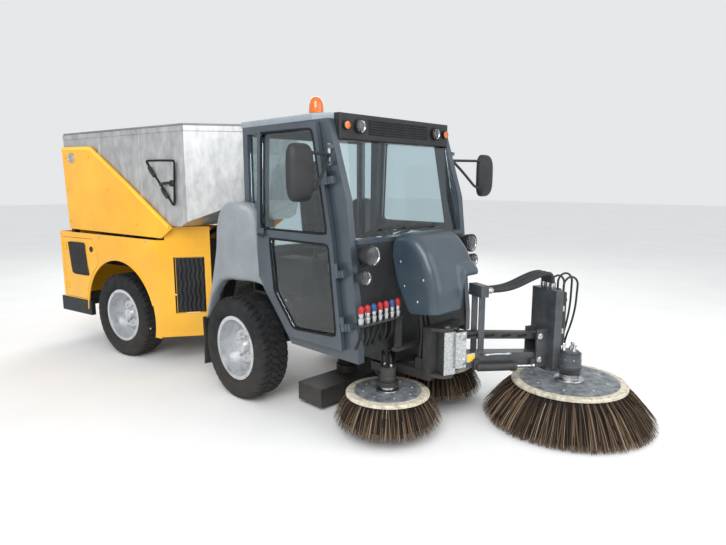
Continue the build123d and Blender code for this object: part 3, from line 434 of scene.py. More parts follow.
def hood_points():
    """Cross-sections from back to foot: each goes down the side wall, round the corner with
    a quarter superellipse, across the top and round again. The left foot is arched."""
    stations = 64
    crest, foot = along(hood_outline, stations), along(hood_foot, stations)
    corner = np.linspace(0, np.pi / 2, 9)
    wall = np.linspace(0, 1, 12)[:-1]
    middle = np.linspace(1, -1, 26)[1:-1] * (hood_half - hood_radius)
    inset = hood_radius * (1 - np.sin(corner) ** 0.85)
    across = hood_half - hood_radius * (1 - np.cos(corner) ** 0.85)
    depth = np.concatenate([np.full(11, hood_radius), inset, np.zeros(24), inset[::-1],
                            np.full(11, hood_radius)])
    width = np.concatenate([np.full(11, hood_half), across, middle, -across[::-1],
                            np.full(11, -hood_half)])
    share = np.concatenate([1 - wall, np.zeros(9), np.zeros(24), np.zeros(9), wall[::-1] * 0])
    share[-11:] = np.linspace(0, 1, 12)[1:]
    inward = foot - crest
    inward /= np.linalg.norm(inward, axis=1)[:, None]
    edge = crest[:, None] + inward[:, None] * depth[None, :, None]
    points = edge + (foot[:, None] - edge) * share[None, :, None]
    grid = np.stack([points[..., 0], np.broadcast_to(width, points.shape[:2]),
                     points[..., 1]], -1)
    left = np.clip((grid[..., 1] - 0) / 60, 0, 1)
    left = left * left * (3 - 2 * left)
    arch = 742 + 190 * left
    below = np.clip((1010 - grid[..., 2]) / (1010 - 742), 0, 1)
    grid[..., 2] = np.where(below > 0, np.maximum(grid[..., 2], grid[..., 2]
                                                  + (arch - 742) * below), grid[..., 2])
    flare = np.clip((830 - grid[..., 2]) / 90, 0, 1) ** 2 * (1 - left)
    grid[..., 0] += 6 * flare * (share < 0.5)
    return front(grid)


# moulded ABS, satin slate blue: a soft broad gloss with faint drifts of tone
hood_abs, tree, shader = material("moulded_abs_slate", "#35424B", 0.34, Coat_Weight=0.25,
                                  Coat_Roughness=0.22)
mottle(tree, shader, "#323E47", "#3B4953", 260)
grain(tree, shader, 1.2, 0.04, strength=0.2)
hood = surface("hood_shell", hood_points(), hood_abs, crease=70)
walls = hood.modifiers.new("wall", "SOLIDIFY")
walls.thickness = 0.005
walls.offset = -1.0
belongs(hood, "front_cart", "hood_plastic", "front_hood")

# zinc plated steel: pale, a little rough, used for every screw and pin that shows
zinc_plate, tree, shader = material("zinc_plated_steel", "#C9CBCC", 0.32, Metallic=1.0)
mottle(tree, shader, "#A7A9AA", "#D2D4D5", 12)


def screws(name, centres, axis, radius_mm, finish, place=front, high=5.0, sides=18):
    """Domed screw heads: rings of radius r cos a at height h sin a about each centre."""
    axis = np.asarray(axis, float) / np.linalg.norm(axis)
    across = np.cross(axis, (0, 0, 1) if abs(axis[2]) < 0.9 else (1, 0, 0))
    across /= np.linalg.norm(across)
    beside = np.cross(axis, across)
    turn = np.linspace(0, 2 * np.pi, sides, endpoint=False)
    rings = np.array([(1.0, -0.6), (1.0, 0.45), (0.86, 0.85), (0.5, 1.0), (0.02, 1.0)])
    radial = (across * np.cos(turn)[:, None] + beside * np.sin(turn)[:, None]) * radius_mm
    head = radial[None] * rings[:, :1, None] + axis * (high * rings[:, 1])[:, None, None]
    faces, points = [], []
    for number, centre in enumerate(np.atleast_2d(np.asarray(centres, float))):
        first = number * head.shape[0] * sides
        points.append(head.reshape(-1, 3) + centre)
        faces += [[first + v for v in quad] for quad in grid_faces(5, sides, False, True)]
        faces += [[first + n for n in range(sides)][::-1],
                  [first + 4 * sides + n for n in range(sides)]]
    made = put_mesh(name, place(np.concatenate(points)), faces)
    work = bmesh.new()
    work.from_mesh(made.data)
    bmesh.ops.recalc_face_normals(work, faces=work.faces)
    work.to_mesh(made.data)
    work.free()
    made.data.shade_smooth()
    made.data.set_sharp_from_angle(angle=math.radians(50))
    made.data.materials.append(finish)
    return made


belongs(screws("hood_screws", [(1120, -hood_half, 1020), (1290, -hood_half, 930),
                               (1150, -hood_half, 880), (1250, -hood_half, 800)],
               (0, -1, 0), 9, zinc_plate), "front_cart", "bare_steel")

# ---- front mudguards --------------------------------------------------------------------
# Grey mouldings that wrap the wheel and rise behind each door, thick rounded edges, a
# black rubber flap hanging behind the wheel.
guard_outer = [(-334, 512), (-201, 874), (-146, 1087), (-144, 1250), (-98, 1328), (-20, 1356),
               (115, 1356), (180, 1328), (198, 1200), (203, 900), (214, 868), (330, 742),
               (338, 690)]
guard_inner = [(-312, 526), (-240, 700), (-150, 800), (-40, 830), (40, 832), (92, 836),
               (110, 836), (122, 834), (150, 830), (180, 822), (240, 795), (305, 735),
               (322, 692)]


def guard_points(side):
    """Between the outer and the wheel-arch line, rows share the way across; the outer face
    bulges and rolls under at both lines: y = face - roll * (1 - (1 - e ** 3) ** (1 / 3))."""
    stations = 70
    crest, arch = along(guard_outer, stations), along(guard_inner, stations)
    share = np.concatenate([np.full(3, 0.0), np.linspace(0, 1, 26), np.full(3, 1.0)])
    flat = crest[:, None] + (arch - crest)[:, None] * share[None, :, None]
    edge = np.minimum(np.linspace(0, 1, 26), 1 - np.linspace(0, 1, 26)) / 0.16
    roll = 1 - (1 - np.clip(1 - edge, 0, 1) ** 2.2) ** 0.5
    drop = np.concatenate([[108, 70, 40], 26 * roll, [40, 60, 80]])
    chamfer = np.clip((flat[..., 0] - 92) / 140, 0, 1) * 112
    face = 664 - np.maximum(chamfer, 0) - np.broadcast_to(drop, flat.shape[:2])
    face = np.maximum(face, 549)
    grid = np.stack([flat[..., 0], face * side, flat[..., 1]], -1)
    return front(grid)


# moulded ABS in mid grey: low gloss, faint flow marks
guard_abs, tree, shader = material("moulded_abs_grey", "#858B90", 0.4, Coat_Weight=0.15,
                                   Coat_Roughness=0.3)
mottle(tree, shader, "#7C8287", "#8D9398", 240)
dust(tree, shader, "#A39B8C", 900, 0.25)
grain(tree, shader, 1.2, 0.04, strength=0.2)
# sheet rubber: matt, greyed by splashes
flap_rubber, tree, shader = material("sheet_rubber", "#17181A", 0.75, Specular_IOR_Level=0.35)
mottle(tree, shader, "#121314", "#2A2B2C", 90)
dust(tree, shader, "#6B645A", 700, 0.4)
grain(tree, shader, 4, 0.3)
for corner, side in (("right", -1), ("left", 1)):
    guard = surface(f"mudguard_{corner}", guard_points(side), guard_abs, crease=50)
    skin = guard.modifiers.new("wall", "SOLIDIFY")
    skin.thickness = 0.004
    skin.offset = -1.0
    belongs(guard, "front_cart", "grey_plastic")
    lift = np.linspace(0, 1, 14)[:, None]
    spread = np.linspace(-1, 1, 12)[None, :]
    flap_x = -404 + 14 * np.sin(lift * 2.6) * (1 - lift) - 5 * spread ** 2 * (1 - lift)
    flap_y = 557 * side + 96 * spread + 0 * lift
    flap_z = 152 + 355 * lift + 0 * spread
    flap = surface(f"flap_{corner}", front(np.stack([flap_x, flap_y, flap_z + 0 * flap_x], -1)),
                   flap_rubber)
    flap.modifiers.new("wall", "SOLIDIFY").thickness = 0.006
    belongs(flap, "front_cart", "black_rubber")
    inner = np.array([(-330, 512), (-195, 874), (-140, 1087), (-138, 1250), (-92, 1322),
                      (-20, 1350), (112, 1350)])
    liner_line = along(inner, 30)
    liner_y = np.linspace(556, 470, 6) * side
    liner = np.stack([np.broadcast_to(liner_line[:, None, 0], (30, 6)),
                      np.broadcast_to(liner_y, (30, 6)),
                      np.broadcast_to(liner_line[:, None, 1], (30, 6))], -1)
    liner = liner[:14]
    liner_piece = surface(f"guard_liner_{corner}", front(liner), flap_rubber)
    liner_piece.modifiers.new("wall", "SOLIDIFY").thickness = 0.004
    belongs(liner_piece, "front_cart", "black_rubber")
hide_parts("front_mudguards")

# ---- cab shell --------------------------------------------------------------------------
# Welded steel frame in satin slate enamel, doors to match, black rubber seals round the
# panes, laminated windscreen and toughened side panes with a faint cool tint.
slate_enamel, tree, shader = material("slate_enamel", "#39424B", 0.36, Coat_Weight=0.3,
                                      Coat_Roughness=0.15)
mottle(tree, shader, "#353E47", "#3F4952", 220)
dust(tree, shader, "#7D7668", 760, 0.22)
grain(tree, shader, 1.5, 0.03, strength=0.2)
for node_name in ("cab_frame", "door_frame_right", "door_frame_left"):
    wear(node_name, slate_enamel)
# moulded polypropylene: black, fine leather-like texture, dull
black_moulding, tree, shader = material("black_polypropylene", "#1A1B1D", 0.58)
mottle(tree, shader, "#161719", "#232527", 120)
grain(tree, shader, 1.6, 0.12, strength=0.4)
for node_name in ("light_bar", "cab_controls", "steering_wheel", "accelerator_pedal", "wiper",
                  "cab_tub", "seat_base"):
    wear(node_name, black_moulding)

# float glass: clear, cool grey-green tint, sharp reflection; thin water marks in roughness
cab_glazing, tree, shader = material("tinted_float_glass", "#DCE9EC", 0.03, IOR=1.45,
                                     Transmission_Weight=1.0)
coords = add(tree, "ShaderNodeTexCoord")
streaks = add(tree, "ShaderNodeTexNoise", [("Vector", coords.outputs["Object"])], Scale=18.0,
              Detail=5.0)
film = add(tree, "ShaderNodeMapRange", [("Value", streaks.outputs["Fac"])], From_Min=0.35,
           From_Max=0.75, To_Min=0.0, To_Max=0.06)
tree.links.new(film.outputs["Result"], shader.inputs["Roughness"])
for node_name in ("cab_glass", "door_glass_right", "door_glass_left"):
    wear(node_name, cab_glazing)

# glass-fibre roof: pale grey gelcoat, lighter than the mudguards, slightly chalky
roof_gelcoat, tree, shader = material("grey_gelcoat", "#8C959C", 0.45)
mottle(tree, shader, "#828B92", "#98A1A8", 260)
grain(tree, shader, 2, 0.05, strength=0.2)
wear("cab_roof", roof_gelcoat)


def tube(name, path, radius_mm, finish, place=front, sides=14, samples=48, closed=False):
    """A round bar: circles of the radius carried along a softened path, in its own normal
    and side directions, worked out from the upright direction."""
    line = along(path, samples)
    ahead = np.gradient(line, axis=0)
    ahead /= np.linalg.norm(ahead, axis=1)[:, None]
    helper = np.array((0.31, 0.23, 0.92))
    beside = np.cross(ahead, helper)
    beside /= np.linalg.norm(beside, axis=1)[:, None]
    above = np.cross(beside, ahead)
    turn = np.linspace(0, 2 * np.pi, sides, endpoint=False)
    ring = (beside[:, None] * np.cos(turn)[None, :, None]
            + above[:, None] * np.sin(turn)[None, :, None]) * radius_mm
    points = line[:, None] + ring
    ends = [line[:1, None] + ring[:1] * 0.02, points, line[-1:, None] + ring[-1:] * 0.02]
    return surface(name, place(np.concatenate(ends)), finish, closed_columns=True, crease=60)


# rubber glazing seals: a raised bead round each pane of the right and left doors
seal_rubber, tree, shader = material("seal_rubber", "#101112", 0.7, Specular_IOR_Level=0.3)
mottle(tree, shader, "#0D0E0F", "#191A1B", 40)
upper_pane = [(280, 1778), (766, 1774), (884, 1187), (252, 1187), (280, 1778), (300, 1778)]
lower_pane = [(340, 1128), (893, 1128), (953, 610), (565, 585), (380, 790), (340, 1128),
              (360, 1128)]
for corner, side in (("right", -1), ("left", 1)):
    for level, pane in (("upper", upper_pane), ("lower", lower_pane)):
        line = [(x, 579 * side, z) for x, z in pane]
        belongs(tube(f"seal_{level}_{corner}", line, 7, seal_rubber, samples=160, sides=8),
                f"door_{corner}", "black_rubber")
    handle = [(236, 592 * side, 1146), (262, 598 * side, 1146), (292, 598 * side, 1144),
              (300, 592 * side, 1143)]
    belongs(tube(f"door_handle_{corner}", handle, 9, black_moulding, samples=20),
            f"door_{corner}", "black_plastic")

# ---- lamps ------------------------------------------------------------------------------
# Round work lamps and headlamps: a black housing, a bright spun reflector and a clear
# domed lens with moulded ribs. An orange beacon on the roof turns in its dome.
# vacuum-coated aluminium: mirror bright, faint spinning marks
lamp_mirror, tree, shader = material("lamp_reflector", "#E4E6E8", 0.12, Metallic=1.0)
mottle(tree, shader, "#C9CDD2", "#F2F4F6", 25)
# moulded polycarbonate: clear with a glossy skin
lamp_lens, tree, shader = material("clear_polycarbonate", "#F4F8FA", 0.05, IOR=1.58,
                                   Transmission_Weight=1.0)
grain(tree, shader, 9, 0.8, strength=0.4)
# orange polycarbonate: glossy, deep, half clear
orange_lens, tree, shader = material("orange_polycarbonate", "#F07808", 0.12, IOR=1.58,
                                     Transmission_Weight=0.35, Coat_Weight=0.5)
mottle(tree, shader, "#E86A00", "#FF8A12", 22)
grain(tree, shader, 7, 0.5, strength=0.3)


def spun(name, outline, start, axis, finish, place=front, steps=40, crease=35):
    """A (radius, distance) outline turned about any axis through a start point."""
    axis = np.asarray(axis, float) / np.linalg.norm(axis)
    across = np.cross(axis, (0, 0, 1) if abs(axis[2]) < 0.9 else (1, 0, 0))
    across /= np.linalg.norm(across)
    beside = np.cross(axis, across)
    outline = np.asarray(outline, float)
    turn = np.linspace(0, 2 * np.pi, steps, endpoint=False)[:, None, None]
    radial = across * np.cos(turn) + beside * np.sin(turn)
    points = radial * outline[None, :, :1] + axis * outline[None, :, 1:] + np.asarray(start)
    return surface(name, place(points), finish, closed_rows=True, crease=crease)


def lamp(name, start, axis, radius, depth, lens):
    """One lamp: a housing that tapers back, a bezel, a bowl r = R sqrt(d) and a lens cap."""
    belongs(spun(f"{name}_housing", [(0, 0), (radius * 0.55, 0), (radius * 0.92, depth * 0.5),
                                     (radius, depth - 8), (radius, depth),
                                     (radius * 0.93, depth + 3), (radius * 0.88, depth),
                                     (radius * 0.84, depth - 10), (0, depth - 12)],
                 start, axis, black_moulding), "front_cart", "black_plastic")
    bowl = np.linspace(0.02, 1, 9)
    belongs(spun(f"{name}_bowl", [(radius * 0.86 * share ** 0.5, depth - 26 + 22 * share)
                                  for share in bowl],
                 start, axis, lamp_mirror), "front_cart", "bare_steel")
    cap = np.linspace(0, np.pi / 2, 9)
    belongs(spun(f"{name}_lens", [(0, depth - 1)] + [(radius * 0.88 * np.sin(a), depth + 1
                                                      + radius * 0.16 * np.cos(a))
                                                     for a in cap] + [(0, depth - 1)],
                 start, axis, lens), "front_cart", "lamp_lens")


for corner, side in (("right", -1), ("left", 1)):
    lamp(f"headlamp_{corner}", (1062, 474 * side, 1079), (1, 0, 0), 60, 84, lamp_lens)
    lamp(f"dip_lamp_{corner}", (1072, 521 * side, 960), (1, 0, 0), 44, 64, lamp_lens)
    lamp(f"roof_lamp_{corner}", (905, 350 * side, 1790), (1, 0, 0), 40, 26, lamp_lens)
    lamp(f"roof_indicator_{corner}", (905, 455 * side, 1790), (1, 0, 0), 25, 22, orange_lens)
    belongs(tube(f"headlamp_stalk_{corner}", [(1040, 480 * side, 1010), (1070, 478 * side, 1018),
                                              (1090, 476 * side, 1030), (1092, 475 * side, 1070)],
                 9, black_moulding, samples=24), "front_cart", "black_plastic")
beacon = (465, -285)
dome_angle = np.linspace(0, np.pi / 2, 10)
beacon_outline = ([(0, 1906), (46, 1906), (47, 1912), (45, 1950)]
                  + [(8 + 37 * np.cos(a), 1950 + 56 * np.sin(a)) for a in dome_angle]
                  + [(0, 2006)])
belongs(turned("beacon_dome", beacon_outline, beacon, orange_lens, steps=48), "front_cart",
        "lamp_lens")
belongs(turned("beacon_base", [(0, 1868), (50, 1868), (50, 1896), (44, 1907), (0, 1907)],
               beacon, black_moulding, steps=48), "front_cart", "black_plastic", "cab_lamps")
# the roof bar: a recessed grille of slats between the lamps
slat_y = np.linspace(-270, 270, 24)
for number, height in enumerate(np.linspace(1752, 1826, 6)):
    line = np.stack([np.full(24, 914.0), slat_y, np.full(24, height)], 1)
    belongs(tube(f"bar_slat_{number}", line, 4.5, flap_rubber, sides=8, samples=24),
            "front_cart", "black_plastic")

# ---- mirrors ----------------------------------------------------------------------------
# Folding arms of black tube with large moulded heads: a rounded black shell and a
# silvered glass that faces back.
mirror_glass, tree, shader = material("silvered_glass", "#DDE3E6", 0.03, Metallic=1.0)
mottle(tree, shader, "#D6DDE0", "#E6EBEE", 80)


def head_points(side):
    """A pillow: the superellipse |y / b| ** 4 + |z / c| ** 4 = k ** 4 at each depth, k
    falling to zero at the front as a quarter ellipse."""
    depth = np.linspace(0, np.pi / 2, 14)
    turn = np.linspace(0, 2 * np.pi, 56, endpoint=False)
    around_y = np.sign(np.cos(turn)) * np.abs(np.cos(turn)) ** 0.5
    around_z = np.sign(np.sin(turn)) * np.abs(np.sin(turn)) ** 0.5
    size = np.concatenate([[0.0, 0.93, 0.97], np.cos(depth) ** 0.6])
    x = np.concatenate([[-28, -28, -30], -24 + 54 * np.sin(depth)])
    grid = np.stack([np.broadcast_to(x[:, None] + 1000, (17, 56)),
                     side * (846 + 82 * size[:, None] * around_y[None]),
                     1524 + 148 * size[:, None] * around_z[None]], -1)
    return front(grid)


for corner, side in (("right", -1), ("left", 1)):
    shell = surface(f"mirror_head_{corner}", head_points(side), black_moulding,
                    closed_columns=True, crease=50)
    belongs(shell, f"mirror_{corner}", "black_plastic", f"mirror_{corner}")
    pane = head_points(side)[1:3] + np.array((-0.0012, 0, 0))
    middle = pane.mean(axis=1, keepdims=True)
    pane = np.concatenate([middle + (pane[:1] - middle) * 0.001,
                           middle[:1] + (pane[:1] - middle[:1]) * 0.9])
    belongs(surface(f"mirror_pane_{corner}", pane, mirror_glass, closed_columns=True),
            f"mirror_{corner}", "black_plastic")
    for height in (1625, 1440):
        arm = [(901, 572 * side, 1625), (940, 640 * side, 1625 + (height - 1625) * 0.4),
               (985, 740 * side, height), (1000, 800 * side, height)]
        belongs(tube(f"mirror_arm_{corner}_{height}", arm, 9, black_moulding, samples=30),
                f"mirror_{corner}", "black_plastic")
    belongs(tube(f"mirror_pin_{corner}", [(901, 572 * side, 1568), (901, 572 * side, 1600),
                                          (901, 572 * side, 1640), (901, 572 * side, 1684)],
                 8, zinc_plate, samples=12), f"mirror_{corner}", "bare_steel")

# ---- hydraulic couplers -----------------------------------------------------------------
# A row of quick couplers under the right lamps: zinc bodies, red and blue dust caps, with
# short hose tails going down behind the shelf.
# moulded vinyl caps: strong red and blue, soft shine
cap_colours = {}
for colour_name, dark, light in (("red", "#8E1B1E", "#B3282B"), ("blue", "#1C3E6E", "#2A568F")):
    cap_colours[colour_name], tree, shader = material(f"vinyl_cap_{colour_name}", light, 0.45)
    mottle(tree, shader, dark, light, 18)
shelf_steel, tree, shader = material("black_chassis_enamel", "#1E2022", 0.5)
mottle(tree, shader, "#191B1D", "#2B2D2F", 70)
dust(tree, shader, "#6F675C", 900, 0.4)
grain(tree, shader, 3, 0.15, strength=0.35)
for number in range(7):
    spot = (1135, -560 + 50 * number)
    if number == 0:
        shelf = put_mesh("coupler_shelf", front([(x, y, z) for x in (1098, 1170)
                                                 for y in (-585, -240) for z in (700, 708)]),
                         [(0, 1, 3, 2), (4, 6, 7, 5), (0, 4, 5, 1), (2, 3, 7, 6), (0, 2, 6, 4),
                          (1, 5, 7, 3)])
        bevel = shelf.modifiers.new("edges", "BEVEL")
        bevel.width = 0.003
        bevel.segments = 2
        shelf.data.materials.append(shelf_steel)
        belongs(shelf, "front_cart", "chassis_steel", "hydraulic_couplings")
    lean = 8 * math.sin(number * 1.7)
    belongs(turned(f"coupler_{number}", [(0, 706), (15, 706), (15, 726), (17, 728), (17, 742),
                                         (12, 745), (12, 752), (15, 754), (15, 772), (0, 772)],
                   spot, zinc_plate, steps=20), "front_cart", "bare_steel")
    colour_name = "red" if number % 3 != 2 else "blue"
    belongs(turned(f"coupler_cap_{number}", [(0, 770), (16, 770), (17, 774), (17, 798),
                                             (13, 806), (6, 812), (0, 813)],
                   spot, cap_colours[colour_name], steps=20), "front_cart", "black_plastic")
    tail = [(1135, spot[1], 704), (1136, spot[1], 670), (1128 + lean, spot[1] + lean, 630),
            (1108, spot[1] + 2 * lean, 590), (1090, spot[1] + lean, 560)]
    belongs(tube(f"coupler_tail_{number}", tail, 8, flap_rubber, sides=10, samples=24),
            "front_cart", "black_rubber")

# ---- seat -------------------------------------------------------------------------------
# A sprung driver's seat in dark woven cloth: crowned cushion with two sewn channels, and a
# taller back pad with side bolsters. Pads swell a little where the foam pushes the cloth.
seat_cloth, tree, shader = material("woven_seat_cloth", "#25272B", 0.9, Sheen_Weight=0.35)
mottle(tree, shader, "#1E2023", "#303338", 30)
coords = add(tree, "ShaderNodeTexCoord")
# real threads are 0.8 mm apart; drawn at 3 mm so that the weave shows
weave = add(tree, "ShaderNodeTexWave", [("Vector", coords.outputs["Object"])], Scale=52.0,
            bands_direction="Y")
cross = add(tree, "ShaderNodeTexWave", [("Vector", coords.outputs["Object"])], Scale=52.0,
            bands_direction="DIAGONAL")
both = add(tree, "ShaderNodeMath", [(0, weave.outputs["Fac"]), (1, cross.outputs["Fac"])],
           operation="MULTIPLY")
thread = add(tree, "ShaderNodeBump", [("Height", both.outputs["Value"])], Strength=0.5,
             Distance=0.0008)
tree.links.new(thread.outputs["Normal"], shader.inputs["Normal"])


def pad_mesh(name, low, high, lean):
    """A rounded pad between two corners: a cube grid pushed onto the superellipsoid
    |x| ** 5 + |y| ** 5 + |z| ** 5 = 1, leaning by lean times its height."""
    steps = 24
    a = np.linspace(-1, 1, steps)
    u, v = np.meshgrid(a, a, indexing="ij")
    flat = np.ones_like(u)
    sides_list = [np.stack(s, -1) for s in ((u, v, flat), (v, u, -flat), (flat, u, v),
                                            (-flat, v, u), (v, flat, u), (u, -flat, v))]
    cube = np.concatenate([s.reshape(-1, 3) for s in sides_list])
    reach = (np.abs(cube) ** 5).sum(1) ** (1 / 5)
    unit = cube / reach[:, None]
    low, high = np.array(low, float), np.array(high, float)
    points = (low + high) / 2 + unit * (high - low) / 2
    points[:, 0] -= lean * (points[:, 2] - low[2])
    faces = []
    for number in range(6):
        first = number * steps * steps
        faces += [[first + k for k in quad] for quad in grid_faces(steps, steps)]
    made = put_mesh(name, front(points), faces)
    work = bmesh.new()
    work.from_mesh(made.data)
    bmesh.ops.remove_doubles(work, verts=work.verts, dist=1e-6)
    bmesh.ops.recalc_face_normals(work, faces=work.faces)
    work.to_mesh(made.data)
    work.free()
    return made


def swell(pad, cap_mm):
    """Blows the pad up as cloth with pressure, then keeps every point within the cap."""
    remesh = pad.modifiers.new("remesh", "REMESH")
    remesh.mode = "VOXEL"
    remesh.voxel_size = 0.009
    depsgraph = bpy.context.evaluated_depsgraph_get()
    pad.data = bpy.data.meshes.new_from_object(pad.evaluated_get(depsgraph))
    pad.modifiers.clear()
    count = len(pad.data.vertices)
    before = np.empty(count * 3)
    pad.data.vertices.foreach_get("co", before)
    cloth = pad.modifiers.new("cloth", "CLOTH")
    cloth.settings.use_pressure = True
    cloth.settings.uniform_pressure_force = 4.0
    cloth.settings.effector_weights.gravity = 0.0
    cloth.point_cache.frame_end = 20
    for step in range(1, 21):
        bpy.context.scene.frame_set(step)
    depsgraph = bpy.context.evaluated_depsgraph_get()
    swollen = bpy.data.meshes.new_from_object(pad.evaluated_get(depsgraph))
    after = np.empty(count * 3)
    swollen.vertices.foreach_get("co", after)
    pad.modifiers.clear()
    bpy.context.scene.frame_set(1)
    move = (after - before).reshape(-1, 3)
    size = np.linalg.norm(move, axis=1, keepdims=True)
    move *= np.minimum(1, cap_mm / 1000 / np.maximum(size, 1e-9))
    before = (before.reshape(-1, 3) + move).ravel()
    pad.data.vertices.foreach_set("co", before)
    pad.data.update()


def sew(pad, seams, depth_mm, width_mm, face):
    """Presses sewn channels: points near a seam sink by depth * exp(-(d / width) ** 2)."""
    count = len(pad.data.vertices)
    points = np.empty(count * 3)
    pad.data.vertices.foreach_get("co", points)
    points = points.reshape(-1, 3)
    normals = np.empty(count * 3)
    pad.data.vertices.foreach_get("normal", normals)
    normals = normals.reshape(-1, 3)
    facing = np.clip(normals @ np.asarray(face, float), 0, 1)
    for axis, value in seams:
        distance = (points[:, axis] - value) * 1000
        sink = depth_mm / 1000 * np.exp(-(distance / width_mm) ** 2) * facing
        points -= normals * sink[:, None]
    pad.data.vertices.foreach_set("co", points.ravel())
    pad.data.update()


seat_seams = [(1, front((0, -120, 0))[1]), (1, front((0, 120, 0))[1])]
for name, low, high, lean, seam_x, face, body, node in (
        ("seat_pad", (238, -236, 892), (672, 236, 980), 0.0, 420, (0, 0, 1), "seat",
         "seat_cushion"),
        ("back_pad", (218, -226, 1004), (300, 226, 1632), 0.11, None, (1, 0, 0), "seat_back",
         "seat_backrest")):
    pad = pad_mesh(name, low, high, lean)
    swell(pad, 9)
    cross_seam = [(0, front((seam_x, 0, 0))[0])] if seam_x else [
        (2, front((0, 0, height))[2]) for height in (1180, 1330, 1480)]
    sew(pad, seat_seams + cross_seam, 9, 10, face)
    pad.data.shade_smooth()
    pad.data.materials.clear()
    pad.data.materials.append(seat_cloth)
    finer = pad.modifiers.new("smooth", "SUBSURF")
    finer.levels = 1
    finer.render_levels = 1
    belongs(pad, body, "seat_fabric", node)

# ---- rear body --------------------------------------------------------------------------
# Pressed steel panels in gloss yellow enamel, with black moulded grilles of wavy upright
# ribs in each front corner and each service door, and bevelled fins above, their top edge a
# painted highlight in lighter yellow.
yellow_enamel, tree, shader = material("yellow_enamel", "#F5B100", 0.26, Coat_Weight=0.45,
                                       Coat_Roughness=0.08)
mottle(tree, shader, "#F0A900", "#F8B803", 340)
dust(tree, shader, "#B89A55", 620, 0.4)
grain(tree, shader, 40, 0.15, strength=0.15)
# a lighter copy of the yellow enamel for the fins' bevelled top edge: a painted highlight
highlight_yellow_enamel, tree, shader = material("painted_highlight_yellow_edge", "#FFCC14", 0.24, Coat_Weight=0.5)
mottle(tree, shader, "#FFC400", "#FFD22A", 200)
for node_name in ("body_panels", "service_door_right", "service_door_left"):
    wear(node_name, yellow_enamel)
wear("rear_bumper", black_moulding)


def wavy_ribs(start, step, out, width, low, high, shear=0.0):
    """Wavy upright ribs standing off a flat panel: height h = rise * (0.5 + 0.5 cos(2 pi
    (s / pitch + swing sin(2 pi z / wave)))) ** 0.6, falling to zero at the border."""
    rows, columns, pitch, rise = 64, 110, 34.0, 17.0
    share, level = np.meshgrid(np.linspace(0, 1, columns), np.linspace(0, 1, rows))
    run = share * width
    height = low + (high - low) * level
    wave = 0.16 * np.sin(2 * np.pi * height / 118)
    crest = (0.5 + 0.5 * np.cos(2 * np.pi * (run / pitch + wave))) ** 0.6
    border = np.minimum(np.minimum(share, 1 - share) * width, (np.minimum(level, 1 - level)
                                                              * (high - low))) / 10
    stand = 1.5 + rise * crest * np.clip(border, 0, 1)
    start, step, out = (np.asarray(v, float) for v in (start, step, out))
    slide = run + shear * (height - low)
    return (start + slide[..., None] * step + stand[..., None] * out
            + np.stack([0 * height, 0 * height, height], -1))


root_half = math.sqrt(0.5)
for corner, side in (("right", -1), ("left", 1)):
    corner_ribs = wavy_ribs((-192, 562.5 * side, 0), (root_half, -root_half * side, 0),
                            (root_half * 0.55, root_half * side * 0.55, 0), 229, 446, 887)
    belongs(surface(f"corner_grille_{corner}", rear(corner_ribs), black_moulding, crease=60),
            "rear_cart", "black_plastic")
    door_ribs = wavy_ribs((-1528, 666 * side, 0), (1, 0, 0), (0, side * 0.55, 0), 262, 668, 941,
                          shear=-0.12)
    belongs(surface(f"door_grille_{corner}", rear(door_ribs), black_moulding, crease=60),
            f"service_door_{corner}", "black_plastic")
    frame_line = [(-1560 - 0.0, 666 * side, 941), (-1528, 668 * side, 946),
                  (-1300, 668 * side, 946), (-1296, 668 * side, 800), (-1262, 668 * side, 664),
                  (-1500, 668 * side, 664), (-1526, 668 * side, 700), (-1558, 668 * side, 941)]
    belongs(tube(f"door_grille_frame_{corner}", frame_line, 6, black_moulding, place=rear,
                 samples=140, sides=8), f"service_door_{corner}", "black_plastic")
    catch = spun(f"door_catch_{corner}", [(0, 0), (24, 0), (24, 5), (18, 8), (16, 4), (0, 4)],
                 (-1200, 665 * side, 900), (0, side, 0), black_moulding, place=rear)
    belongs(catch, f"service_door_{corner}", "black_plastic")
    # the fin's bevelled edge: a flat strip folded back along its sloping top, coloured a lighter
    # yellow as a painted highlight
    crest_line = along([(-1593, 1786), (-1149, 1779), (-1120, 1762), (-618, 1452),
                        (-140, 1146)], 70)
    fall = np.gradient(crest_line, axis=0)
    fall /= np.linalg.norm(fall, axis=1)[:, None]
    under = np.stack([fall[:, 1], -fall[:, 0]], 1)
    strip = []
    for offset, stand in ((1.0, 641.5), (2.0, 645.5), (26.0, 647.0), (29.0, 641.5)):
        line = crest_line + under * offset
        strip.append(np.stack([line[:, 0], np.full(70, stand * side), line[:, 1]], -1))
    belongs(surface(f"fin_painted_highlight_edge_{corner}", rear(np.stack(strip, 1)), highlight_yellow_enamel, crease=20),
            "rear_cart", "yellow_paint")
    fin_spots = [(-1540, 643 * side, 1700), (-1540, 643 * side, 1420), (-1540, 643 * side, 1140),
                 (-1180, 643 * side, 1700), (-930, 643 * side, 1420), (-560, 643 * side, 1150)]
    belongs(screws(f"fin_bolts_{corner}", fin_spots, (0, side, 0), 13, yellow_enamel,
                   place=rear, high=8), "rear_cart", "yellow_paint")
    belongs(spun(f"tip_bearing_{corner}", [(0, 0), (44, 0), (44, 8), (38, 13), (30, 13),
                                           (28, 9), (0, 9)],
                 (-1440, 641 * side, 1690), (0, side, 0), zinc_plate, place=rear, steps=48),
            "rear_cart", "bare_steel")
    body_spots = [(-420, 665 * side, 1012), (-1060, 665 * side, 1012), (-420, 665 * side, 300),
                  (-1668, 665 * side, 1010)]
    belongs(screws(f"body_screws_{corner}", body_spots, (0, side, 0), 8, zinc_plate,
                   place=rear, high=4), "rear_cart", "bare_steel")
    angle = np.linspace(math.radians(17), math.radians(180), 60)
    lip = np.stack([-825 + 482 * np.cos(angle), np.full(60, 664.0 * side),
                    355 + 482 * np.sin(angle)], 1)
    belongs(tube(f"arch_lip_{corner}", lip, 9, yellow_enamel, place=rear, samples=60, sides=10),
            "rear_cart", "yellow_paint")

